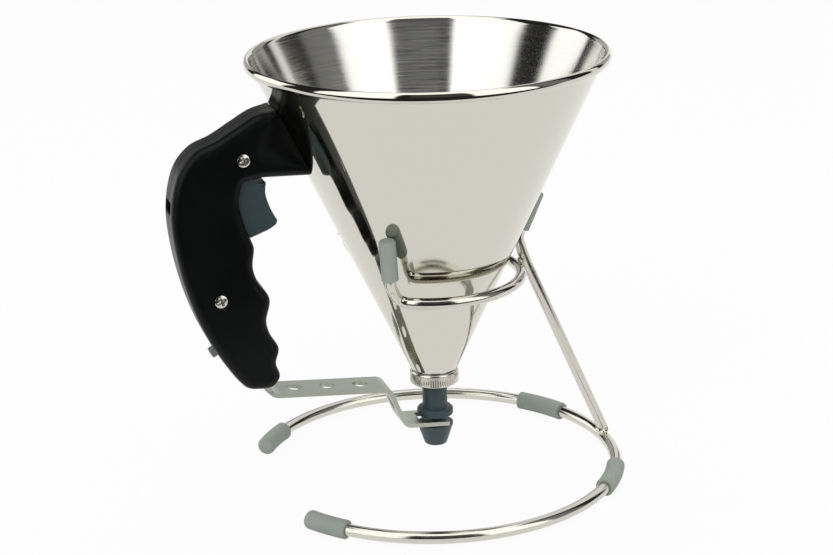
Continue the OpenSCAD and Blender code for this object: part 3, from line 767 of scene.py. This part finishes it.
def make_shell(side, name, node):
    """One half of the handle: the outline is carried across the width by shell_section(), with openings
    left out of the grid. A flat patch closes the side, and the wall gets its thickness inwards."""
    line = grip_line()
    marks = np.array([[station(line, first), station(line, last)] for first, last, _ in OPENINGS])
    stations = shell_stations(line, marks.ravel())
    base = along(line, stations)
    slopes = slopes_of(base, stations)
    inward = np.stack([slopes[:, 1], -slopes[:, 0]], axis=-1)
    width, depth = shell_section()
    rows = base[None] + depth[:, None, None] * inward[None]
    # The outline's ends lie inside the cone. Columns beyond its wall are dropped, with a few near it.
    outside = np.flatnonzero(base[:, 0] < -np.sqrt(cone_r(base[:, 1]) ** 2 - HALF_W**2) - CONE_GAP)
    kept = slice(outside[0] + 4, outside[-1] - 3)
    rows, stations = cut_at_cone(rows[:, kept], width), stations[kept]
    y_mid = (width[1:] + width[:-1]) / 2
    s_mid = (stations[1:] + stations[:-1]) / 2
    cut = np.zeros((len(y_mid), len(s_mid)), bool)
    for (first, last), (_, _, half_width) in zip(marks, OPENINGS):
        cut |= (y_mid[:, None] < half_width) & ((s_mid > first) & (s_mid < last))[None]
    y = np.broadcast_to(side * width[:, None], rows.shape[:2])
    sheet = np.stack([rows[..., 0], y, rows[..., 1]], axis=-1).reshape(-1, 3)
    z_wall = np.linspace(rows[-1, -1, 1], rows[-1, 0, 1], 24)[1:-1]
    border = np.vstack([rows[-1], np.stack([on_cone(z_wall, HALF_W), z_wall], axis=-1)])
    circles, cups = screw_hollows(side)
    corners, triangles = flat_patch(border, circles)
    surfaces = [(sheet, grid_faces(*rows.shape[:2], keep=~cut)), (in_xz(corners, side * HALF_W), triangles)]
    shell = make_piece(name, joined(surfaces + cups), BLACK, "funnel", node, sharp=38)
    thicken(shell)


def thicken(shell):
    """Gives an open skin its wall, inwards: its faces are first turned to point away from its heart."""
    away = read_faces(shell.data, "center") - AXIS - np.array(SHELL_HEART) * MM
    if (away * read_faces(shell.data, "normal")).sum() < 0:
        shell.data.flip_normals()
    solid = shell.modifiers.new("wall", "SOLIDIFY")
    solid.thickness = SHELL_WALL * MM
    solid.offset = -1.0
    solid.use_even_offset = False


def screw_surface(at):
    """Pan head with a cross recess: a dome over the head's radius, less a cross whose arms narrow and
    fall towards the middle; a short shank closes it underneath."""
    steps, rings = 96, 34
    dome_h, arm_half, arm_edge, arm_end = 1.15, 0.68, 0.14, 2.45
    r = np.linspace(0, SCREW_HEAD_R - 0.15, rings)[:, None]
    t = around(steps)[None]
    x, z = r * np.cos(t), r * np.sin(t)
    arm = np.minimum(np.abs(x), np.abs(z))
    cross = np.clip((arm_half - arm) / arm_edge, 0, 1) * np.clip((arm_end - r) / 0.3, 0, 1)
    dome = dome_h * np.sqrt(np.clip(1 - (r / (SCREW_HEAD_R + 0.35)) ** 2, 0, 1)) - cross * (2.6 - 0.5 * r)
    px = at[0] + x * np.cos(SCREW_TURN) - z * np.sin(SCREW_TURN)
    pz = at[1] + x * np.sin(SCREW_TURN) + z * np.cos(SCREW_TURN)
    top = np.stack([px, 0.15 - HALF_W - dome, pz], axis=-1)
    middle = np.array([at[0], 0.0, at[1]])
    # Under the dome: the head's seat, the shank's two ends, and the point that closes it, each a ring at
    # width y with a share of the head's radius.
    seat_y, end_y, shank = 1.35 - HALF_W, HALF_W - 0.5, 0.42
    below = [
        middle + (top[-1:] - middle) * [share, 0, share] + [0, y, 0]
        for y, share in ((seat_y, 1.0), (seat_y, shank), (end_y, shank), (end_y, 0.0))
    ]
    points = np.concatenate([top, *below])
    return points.reshape(-1, 3), grid_faces(len(points), steps, closed_columns=True)


def make_screws():
    """Both of the handle's screws, as one piece."""
    heads = joined([screw_surface(at) for at in SCREWS])
    make_piece("pan_head_screws", heads, TURNED, "funnel", "shell_screws", sharp=40)


def make_trigger():
    """Trigger blade with a hollowed face, its edges rounded, bored for its pin."""
    face = smooth_line([(-89.4, 174.6), (-89.8, 168.6), (-88.3, 162.6), (-86.2, 157.6), (-84.2, 153.9)], 8)
    chin_corners = [(-84.2, 153.9), (-84.9, 151.8), (-88.6, 149.5), (-99.3, 145.7), (-103.6, 146.3)]
    chin = bent_line(chin_corners, [0.9, 1.5, 2.2], 5)[1:]
    nose = np.array([(-106.2, 148.4), (-107.2, 150.5), (-106.6, 152.2), (-106.4, 164.0), (-104.6, 173.8)])
    t = np.radians(np.linspace(200, 0, 16))
    hub = np.stack([TRIGGER_PIVOT[0] + HUB_R * np.cos(t), TRIGGER_PIVOT[1] + HUB_R * np.sin(t)], axis=-1)
    outline = np.vstack([face, chin, nose, hub, [(-93.2, 174.9)]])
    blade = rounded_slab(outline, TRIGGER_HALF, TRIGGER_EDGE, [(*TRIGGER_PIVOT, PIN_BORE_R)])
    make_piece("trigger_blade", blade, SLATE, "trigger", "trigger", sharp=32)


def make_lock_button():
    """Square button with eased edges, turned to stand out of the grip's back."""
    half, out = LOCK_SIDE / 2, -LOCK_OUT
    corners = [(out, 0), (out, -half), (LOCK_IN, -half), (LOCK_IN, half), (out, half), (out, 0)]
    outline = bent_line(corners, [1.0] * 4, 5)[:-1]
    c, s = np.cos(LOCK_TURN), np.sin(LOCK_TURN)
    button = rounded_slab(outline @ np.array([[c, s], [-s, c]]) + LOCK_AT, half, 0.9)
    make_piece("lock_push_button", button, BUTTON, "lock", "lock_button", sharp=32)


# ---- Lever ----


def bent_strip(line, pattern, thickness, holes=(), inner=None):
    """A flat pattern of (distance along, width) bent along a line in X-Z: the point at distance s and
    width y goes to line(s) plus or minus half the thickness square to the line."""
    run = run_of(line)
    slopes = slopes_of(line, run)
    corners, triangles = flat_patch(pattern, holes, inner)

    def bend(flat, lift):
        middle = along_values(line, run, flat[:, 0])
        t = unit(along_values(slopes, run, flat[:, 0]))
        place = middle + lift * np.stack([-t[:, 1], t[:, 0]], axis=-1)
        return in_xz(place, flat[:, 1])

    half = thickness / 2
    surfaces = [(bend(corners, half), triangles), (bend(corners, -half), triangles[:, ::-1])]
    for loop in [pattern, *holes]:
        wall = np.stack([bend(loop, half), bend(loop, -half)])
        surfaces.append((wall.reshape(-1, 3), grid_faces(2, len(loop), closed_columns=True)))
    return joined(surfaces)


def walked(corners, spacing):
    """A closed outline with a point at least every spacing along its sides."""
    closed = np.vstack([corners, corners[:1]])
    run = run_of(closed)
    extra = np.arange(0, run[-1], spacing)
    extra = extra[np.min(np.abs(extra[:, None] - run[None]), axis=1) > spacing * 0.3]
    return along(closed, np.sort(np.concatenate([run[:-1], extra])))


def strip_inner_points(length, holes, slot_start):
    """Points over the strip that let it bend: a grid, less what is near its ends, its holes and the
    fork's slot."""
    spacing, margin, hole_margin = 0.9, 0.6, 0.4
    s = np.arange(margin, length, spacing)
    y = np.linspace(-1, 1, 9)[1:-1] * (LEVER_W / 2)
    points = np.stack(np.meshgrid(s, y), axis=-1).reshape(-1, 2)
    s, y = points.T
    in_slot = (s > slot_start - 0.5) & (np.abs(y) < FORK_SLOT_W / 2 + 0.4)
    points = points[~in_slot & (s > NECK_START + margin) & (s < length - margin)]
    for hole in holes:
        centre, radius = hole_size(hole)
        points = points[np.linalg.norm(points - centre, axis=1) > radius + hole_margin]
    return points


def lever_strip():
    """Narrow neck in the grip, strip with its holes, slope and a fork round the nozzle's groove."""
    line = bent_line(LEVER_LINE, LEVER_BENDS, 8)
    run = run_of(line)
    tip, neck, half, tine = run[-1], NECK_W / 2, LEVER_W / 2, FORK_SLOT_W / 2
    neck_end, slot_s, *holes_s = np.interp([NECK_END_X, FORK_SLOT_X, *LEVER_HOLES_X], line[:, 0], run)
    side = [
        (NECK_START, neck), (neck_end, neck), (neck_end + 1.0, half),
        (tip, half), (tip, tine), (slot_s, tine),
    ]
    bends = [0.5, 0.5, 0.9, 0.7, 1.4]
    outline = bent_line([(s, -y) for s, y in side] + side[::-1], bends + bends[::-1], 6)
    holes = [ring_points((s, 0.0), LEVER_HOLE_R, 36) for s in holes_s]
    inner = strip_inner_points(tip, holes, slot_s)
    return bent_strip(line, walked(outline, 0.9), LEVER_T, holes, inner)


def lever_arm():
    """Flat arm from the lever's pin up the grip to the trigger's nose."""
    line = np.linspace(LEVER_PIVOT, ARM_TOP, 12)
    end, half = run_of(line)[-1], ARM_W / 2
    corners = np.array([(NECK_START, -half), (end, -half), (end, half), (NECK_START, half)])
    return bent_strip(line, walked(corners, 4.0), ARM_T)


def tube_along_y(at, half, bore, outer, steps=40):
    """A closed tube along Y at (X, Z): circles of the bore's and the outer radius at both ends."""
    rings = [in_xz(ring_points(at, r, steps), y) for r, y in
             ((bore, -half), (outer, -half), (outer, half), (bore, half))]
    return np.vstack(rings), grid_faces(4, steps, closed_rows=True, closed_columns=True)


def make_lever():
    """Strip, arm and the hub on the pin, as one piece with its edges broken."""
    hub = tube_along_y(LEVER_PIVOT, HUB_HALF, PIN_BORE_R, HUB_R)
    surface = joined([lever_strip(), lever_arm(), hub])
    piece = make_piece("lever_strip", surface, STRIP, "lever", "lever", sharp=30)
    ease = piece.modifiers.new("eased_edges", "BEVEL")
    ease.width = 0.25 * MM
    ease.segments = 2
    ease.limit_method = "ANGLE"
    ease.angle_limit = np.radians(50)


def make_spring():
    """Coil spring from the lever's arm back to the grip's spine: wire along a helix about X."""
    t = np.linspace(0, 1, SPRING_TURNS * 24 + 1)
    x = SPRING_X[0] + (SPRING_X[1] - SPRING_X[0]) * t
    turn = 2 * np.pi * SPRING_TURNS * t
    helix = np.stack([x, SPRING_R * np.cos(turn), SPRING_Z + SPRING_R * np.sin(turn)], axis=-1)
    coil = carried(wire_profile(run_of(helix)[-1], SPRING_WIRE_R, 1.0), helix, 12)
    piece = make_piece("coil_spring", coil, WIRE, "funnel", "return_spring")
    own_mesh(piece)


# ---- Stand ----

BOTH_SIDES = ((-1, "front"), (1, "back"))


def wire_profile(length, r, spacing=2.0):
    """(distance, radius) of a plain wire with flat, closed ends."""
    s = np.concatenate([[0.0], np.linspace(0, length, max(int(length / spacing), 8)), [length]])
    radius = np.full(len(s), r)
    radius[0] = radius[-1] = 0.0
    return np.stack([s, radius], axis=-1)


def lip_profile(r, ease, steps):
    """(distance, radius) of a quarter round from the mouth's face to the outside of a soft tube."""
    a = np.radians(np.linspace(180, 90, steps))
    return np.stack([ease + ease * np.cos(a), r - ease + ease * np.sin(a)], axis=-1)


def dome_profile(length, r, bore, depth):
    """(distance, radius) of a soft cap: its bore, its mouth's rounded lip, a straight side, and an end
    that is slightly domed inside its rounded edge."""
    ease = 0.6
    edge_at = length - CAP_DOME - CAP_EDGE
    side = np.stack([np.linspace(ease, edge_at, 14)[1:-1], np.full(12, r)], axis=-1)
    a = np.radians(np.linspace(90, 8, 9))
    edge = np.stack([edge_at + CAP_EDGE * np.cos(a), r - CAP_EDGE + CAP_EDGE * np.sin(a)], axis=-1)
    inner = np.linspace(edge[-1, 1], 0, 7)[1:]
    end = np.stack([length - 0.26 * (inner / edge[-1, 1]) ** 2, inner], axis=-1)
    return np.vstack([[(depth, 0.0), (depth, bore), (0.0, bore)], lip_profile(r, ease, 6), side, edge, end])


def sleeve_profile(length, r, bore):
    """(distance, radius) of a cut length of soft tube with eased ends, out along the outside and back
    along the bore."""
    ease = 0.5
    lip = lip_profile(r, ease, 5)
    far = lip[::-1] * [-1, 1] + [length, 0]
    side = np.stack([np.linspace(ease, length - ease, 22)[1:-1], np.full(20, r)], axis=-1)
    return np.vstack([[(0.0, bore)], lip, side, far, [(length, bore), (length / 2, bore), (0.0, bore)]])


def make_wire(name, line, r, node, sides=36, welds=()):
    """Bare wire along a line, with its welds, for a node of the stand."""
    wire = carried(wire_profile(run_of(line)[-1], r), line, sides)
    make_piece(name, joined([wire, *welds]), WIRE, "stand", node)


def make_soft(name, profile, line, node):
    """A soft sleeve or cap along a line, for a node of the stand."""
    make_piece(name, carried(profile, line, 48), GREY_RUBBER, "stand", node)


def make_base_ring():
    """The ring's arc, which runs on into both end caps."""
    end = BASE_ARC + np.degrees((END_CAP_LEN - END_CAP_SOLID - 0.5) / BASE_R)
    make_wire("base_ring_wire", arc_line(BASE_R, FOOT_R, -end, end, 300), BASE_WIRE_R, "base_ring", 40)


def make_sleeves():
    """A sleeve on each side of the strut."""
    half = np.degrees(SLEEVE_LEN / 2 / BASE_R)
    for side, where in BOTH_SIDES:
        line = arc_line(BASE_R, FOOT_R, side * SLEEVE_AT - half, side * SLEEVE_AT + half, 40)
        profile = sleeve_profile(run_of(line)[-1], FOOT_R, BASE_WIRE_R + FIT)
        make_soft(f"sleeve_{where}_tube", profile, line, f"sleeve_{where}")


def make_end_caps():
    """A cap on each end of the base ring."""
    span = np.degrees(END_CAP_LEN / BASE_R)
    profile = dome_profile(END_CAP_LEN, FOOT_R, BASE_WIRE_R + FIT, END_CAP_LEN - END_CAP_SOLID)
    for side, where in BOTH_SIDES:
        line = arc_line(BASE_R, FOOT_R, side * BASE_ARC, side * (BASE_ARC + span), 40)
        make_soft(f"end_cap_{where}_dip", profile, line, f"end_cap_{where}")


def prong_line(side):
    """Neck and tip of a ring prong's axis."""
    return np.array([polar(r, side * PRONG_AT, z) for r, z in (PRONG_NECK, PRONG_TIP)])


def strut_prong(z):
    """Point on the strut's upper stretch, beside the cone's wall."""
    off = (PRONG_CAP_R + CAP_CLEAR) * np.sqrt(1 + CONE_SLOPE**2)
    return polar(cone_r(z) + off, STRUT_AT, z)


def turned_up(arc_end, side):
    """The ring's end, from two points of its arc through rounded bends up into a prong."""
    corner = polar(SUPPORT_R, side * RING_END, SUPPORT_Z)
    neck_bend, ring_bend = PRONG_BENDS
    return bent_line([*arc_end, corner, *prong_line(side)], [0.1, ring_bend, neck_bend], 10)


def make_support_ring():
    """The ring's arc and its two ends, turned up into the prongs."""
    stop = RING_END - RING_END_ROOM
    arc = arc_line(SUPPORT_R, SUPPORT_Z, -stop, stop, 160)
    start, end = turned_up(arc[1::-1], -1), turned_up(arc[-2:], 1)
    line = np.vstack([start[:0:-1], arc[1:-1], end[1:]])
    make_wire("support_ring_wire", evenly(line, 420), SUPPORT_WIRE_R, "support_ring")


def weld_bead(centre, size, seed):
    """A lump of weld: a sphere of the given half sizes, uneven by a few sines."""
    rows, columns = 20, 32
    v, u = np.meshgrid(np.linspace(0, np.pi, rows), around(columns), indexing="ij")
    uneven = 1 + 0.06 * np.sin(3 * u + seed) * np.sin(v) + 0.05 * np.sin(5 * v + 2 * seed)
    ball = np.stack([np.sin(v) * np.cos(u), np.sin(v) * np.sin(u), np.cos(v)], axis=-1) * uneven[..., None]
    return (ball * size + centre).reshape(-1, 3), grid_faces(rows, columns, closed_columns=True)


def make_strut():
    """Wire from the base ring past the support ring to its prong, with weld at both rings."""
    knee = polar(SUPPORT_R + 2 * SUPPORT_WIRE_R + 0.4, STRUT_AT, STRUT_KNEE_Z)
    prong = [strut_prong(z) for z in STRUT_PRONG_Z]
    line = bent_line([STRUT_FOOT, knee, *prong], STRUT_BENDS, 12)
    foot_weld = weld_bead(polar(BASE_R - 0.4, 0, FOOT_R + 3.3), (3.6, 4.6, 3.0), 0.7)
    ring_at = polar(SUPPORT_R + SUPPORT_WIRE_R + 0.1, STRUT_AT, SUPPORT_Z + 0.5)
    ring_weld = weld_bead(ring_at, (1.6, 2.9, 2.6), 2.1)
    make_wire("strut_wire", evenly(line, 120), SUPPORT_WIRE_R, "strut", welds=[foot_weld, ring_weld])


def make_prong_cap(where, foot, toward, solid):
    """A cap from foot along a prong, solid for a length at its end."""
    line = np.linspace(foot, foot + unit(toward - foot) * PRONG_CAP_LEN, 12)
    profile = dome_profile(PRONG_CAP_LEN, PRONG_CAP_R, SUPPORT_WIRE_R + FIT, PRONG_CAP_LEN - solid)
    make_soft(f"prong_cap_{where}_dip", profile, line, f"prong_cap_{where}")


def make_prong_caps():
    """Caps on the ring's two prongs and on the strut's."""
    for side, where in BOTH_SIDES:
        neck, tip = prong_line(side)
        foot = neck + (tip - neck) * (PRONG_CAP_Z - neck[2]) / (tip[2] - neck[2])
        make_prong_cap(where, foot, tip, PRONG_CAP_SOLID)
    make_prong_cap("strut", strut_prong(STRUT_CAP_Z), strut_prong(STRUT_PRONG_Z[1]), STRUT_CAP_SOLID)


make_hopper()
make_collar()
make_nozzle()
make_valve_head()
make_shell(-1, "grip_shell_left", "handle_shell_left")
make_shell(1, "grip_shell_right", "handle_shell_right")
make_screws()
make_trigger()
make_lock_button()
make_lever()
make_spring()
make_base_ring()
make_sleeves()
make_end_caps()
make_support_ring()
make_strut()
make_prong_caps()

# CAD nodes that stay as they are get their finish in place of the plain one.
KEPT = {
    "rim_wire": WIRE, "outlet_neck": BRUSHED, "guide_bush": NYLON, "valve_seal": SEAL,
    "handle_bracket": STRIP, "shell_nuts": TURNED, "trigger_pin": TURNED, "lever_pin": TURNED,
}
for node, material in KEPT.items():
    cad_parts[node].material_slots[0].material = material

# ---- Studio ----

CAMERA_SIDE = 253.0             # azimuth from the object to the camera, in degrees
TABLE_EDGE = (0.195, 0.245)     # metres towards the camera: where metal shows the white table end
FLOOR_REACH = 8.0
ROOM = 0.022                    # brightness, in metal, of the room outside its soft boxes
DAYLIGHT = 0.72                 # brightness of the room for dull surfaces
WHITE_SHARE = 0.94              # share of plain white that the camera sees in the floor
LAMP_AIM = (0, 0, 0.12)


def heading(azimuth, elevation=0.0):
    """Unit vector towards an azimuth and elevation in degrees."""
    a, e = np.radians(azimuth), np.radians(elevation)
    return np.array([np.cos(a) * np.cos(e), np.sin(a) * np.cos(e), np.sin(e)])


def towards(nodes, links, vector, direction):
    """How far a vector goes in a direction: their dot product."""
    dot = nodes.new("ShaderNodeVectorMath")
    dot.operation = "DOT_PRODUCT"
    dot.inputs[1].default_value = direction
    links.new(vector, dot.inputs[0])
    return dot.outputs["Value"]


def seen_in_metal(nodes, links):
    """1 for rays that come off glossy surfaces or through clear ones, and 1 for the camera's own rays."""
    ray = nodes.new("ShaderNodeLightPath").outputs
    bounced = worked(nodes, links, "MAXIMUM", ray["Is Glossy Ray"], ray["Is Transmission Ray"])
    return bounced, ray["Is Camera Ray"]


def floor_white():
    """Floor material: white for the camera, with a share of its own shading for shadows. Metal shows it
    white as far as the table's edge on the camera's side."""
    material = bpy.data.materials.new("floor_white")
    material.use_nodes = True
    nodes, links = material.node_tree.nodes, material.node_tree.links
    nodes.clear()
    paper = nodes.new("ShaderNodeBsdfDiffuse")
    paper.inputs["Color"].default_value = (0.8, 0.8, 0.8, 1)
    place = nodes.new("ShaderNodeTexCoord")
    distance = towards(nodes, links, place.outputs["Object"], heading(CAMERA_SIDE))
    bounced, camera = seen_in_metal(nodes, links)
    near = ranged(nodes, links, distance, *TABLE_EDGE, 1.0, ROOM, smooth=True)
    white = nodes.new("ShaderNodeEmission")
    links.new(worked(nodes, links, "MAXIMUM", near, camera), white.inputs["Strength"])
    share = worked(nodes, links, "MULTIPLY", worked(nodes, links, "MAXIMUM", bounced, camera), WHITE_SHARE)
    mix = nodes.new("ShaderNodeMixShader")
    links.new(worked(nodes, links, "MAXIMUM", share, bounced), mix.inputs["Fac"])
    links.new(paper.outputs[0], mix.inputs[1])
    links.new(white.outputs[0], mix.inputs[2])
    out = nodes.new("ShaderNodeOutputMaterial")
    links.new(mix.outputs[0], out.inputs["Surface"])
    return material


def make_floor():
    """White table."""
    mesh = bpy.data.meshes.new("floor")
    far = FLOOR_REACH
    mesh.from_pydata([(-far, -far, 0), (far, -far, 0), (far, far, 0), (-far, far, 0)], [], [(0, 1, 2, 3)])
    mesh.materials.append(floor_white())
    placed("floor", mesh)


# Soft boxes round the table, as metal shows them: azimuth, half width, lowest and highest elevation in
# degrees, and brightness.
SOFT_BOXES = [
    (207.0, 26.0, -2.0, 85.0, 1.7),
    (302.0, 21.0, -2.0, 85.0, 1.7),
    (137.0, 17.0, -2.0, 32.0, 1.6),
    (338.0, 12.0, -2.0, 70.0, 0.22),
    (17.0, 4.0, -2.0, 60.0, 1.0),
    (39.0, 9.0, -5.0, 30.0, 0.45),
    (62.0, 12.0, -20.0, 27.0, 1.0),
    (91.0, 17.0, -20.0, 20.0, 0.5),
    (50.0, 33.0, 27.0, 62.0, 1.0),
    (262.0, 20.0, 10.0, 50.0, 0.07),
]
SOFT_EDGE = 4.0
CEILING_BOX = (CAMERA_SIDE, 84.0, 27.0, 1.6)    # azimuth, elevation and radius, and brightness


def ceiling_box(nodes, links, direction):
    """A round soft box overhead, on top of the dark room."""
    azimuth, elevation, radius, strength = CEILING_BOX
    up = towards(nodes, links, direction, heading(azimuth, elevation))
    edge, core = np.cos(np.radians([radius + SOFT_EDGE, radius]))
    return ranged(nodes, links, up, edge, core, ROOM, strength, smooth=True)


def soft_box(nodes, links, level, rise, azimuth, half, low, high, strength):
    """An upright soft box: full inside its half width and its two elevations, with soft edges. level is
    the direction brought to the horizon, and rise the elevation in degrees."""
    soft = SOFT_EDGE / 2
    inner, outer = np.cos(np.radians([max(half - soft, 0.5), half + soft]))
    facing = towards(nodes, links, level, heading(azimuth))
    across = ranged(nodes, links, facing, outer, inner, 0.0, strength, smooth=True)
    above = ranged(nodes, links, rise, low - soft, low + soft, smooth=True)
    below = ranged(nodes, links, rise, high - soft, high + soft, 1.0, 0.0, smooth=True)
    return worked(nodes, links, "MULTIPLY", across, worked(nodes, links, "MULTIPLY", above, below))


def make_world():
    """White room for the camera and for dull surfaces. Metal shows a dark room with soft boxes."""
    world = bpy.data.worlds.new("studio")
    bpy.context.scene.world = world
    world.use_nodes = True
    nodes, links = world.node_tree.nodes, world.node_tree.links
    direction = nodes.new("ShaderNodeTexCoord").outputs["Generated"]
    split = nodes.new("ShaderNodeSeparateXYZ")
    links.new(direction, split.inputs["Vector"])
    rise = worked(nodes, links, "MULTIPLY", worked(nodes, links, "ARCSINE", split.outputs["Z"]), 180 / np.pi)
    flat = nodes.new("ShaderNodeVectorMath")
    flat.operation = "MULTIPLY"
    flat.inputs[1].default_value = (1, 1, 0)
    links.new(direction, flat.inputs[0])
    level = nodes.new("ShaderNodeVectorMath")
    level.operation = "NORMALIZE"
    links.new(flat.outputs["Vector"], level.inputs[0])
    light = ceiling_box(nodes, links, direction)
    for numbers in SOFT_BOXES:
        box = soft_box(nodes, links, level.outputs["Vector"], rise, *numbers)
        light = worked(nodes, links, "MAXIMUM", light, box)
    bounced, camera = seen_in_metal(nodes, links)
    strength = nodes.new("ShaderNodeMix")
    strength.inputs["A"].default_value = DAYLIGHT
    links.new(bounced, strength.inputs["Factor"])
    links.new(light, strength.inputs["B"])
    background = nodes["Background"]
    background.inputs["Color"].default_value = (1, 1, 1, 1)
    shown = worked(nodes, links, "MAXIMUM", strength.outputs["Result"], camera)
    links.new(shown, background.inputs["Strength"])


def make_lamp(name, place, size, watts):
    """A soft square lamp at place, facing the object. Metal doesn't show it."""
    data = bpy.data.lights.new(name, "AREA")
    data.size = size
    data.energy = watts
    lamp = placed(name, data)
    lamp.location = place
    lamp.rotation_euler = (Vector(LAMP_AIM) - Vector(place)).to_track_quat("-Z", "Y").to_euler()
    lamp.visible_glossy = False


make_floor()
make_world()
make_lamp("key_softbox", (-0.9, -1.1, 1.5), 0.9, 9.0)
make_lamp("top_softbox", (0.3, 0.5, 1.7), 1.0, 7.0)

# ---- Camera ----

TURN = np.radians(17.0)         # from the camera's right to the object's X axis
DISTANCE, HEIGHT = 1.02999, 0.45504     # metres, level from the funnel's axis and up from the table
YAW, PITCH, ROLL = -0.0081, 0.3224, -0.0256     # radians
FOCAL_PX, FRAME_PX = 2031.0, 833.0      # focal length and frame's width in the frame's pixels
SENSOR_MM = 36.0


def in_row_frame(x, y, z):
    """A vector from the camera's frame, Y away from the camera, in the object's frame."""
    return Vector((x * np.cos(TURN) + y * np.sin(TURN), y * np.cos(TURN) - x * np.sin(TURN), z))


def make_camera():
    """Camera from its place and its yaw, pitch and roll."""
    look = in_row_frame(np.sin(YAW) * np.cos(PITCH), np.cos(YAW) * np.cos(PITCH), -np.sin(PITCH))
    level = in_row_frame(np.cos(YAW), -np.sin(YAW), 0.0)
    upright = level.cross(look)
    right = np.cos(ROLL) * level + np.sin(ROLL) * upright
    up = -np.sin(ROLL) * level + np.cos(ROLL) * upright
    data = bpy.data.cameras.new("camera")
    data.sensor_width = SENSOR_MM
    data.lens = FOCAL_PX * SENSOR_MM / FRAME_PX
    camera = placed("camera", data)
    camera.matrix_world = Matrix((right, up, -look)).transposed().to_4x4()
    camera.location = in_row_frame(0.0, -DISTANCE, HEIGHT) + Vector(AXIS)
    bpy.context.scene.camera = camera


make_camera()
bpy.context.scene.view_settings.view_transform = "Standard"
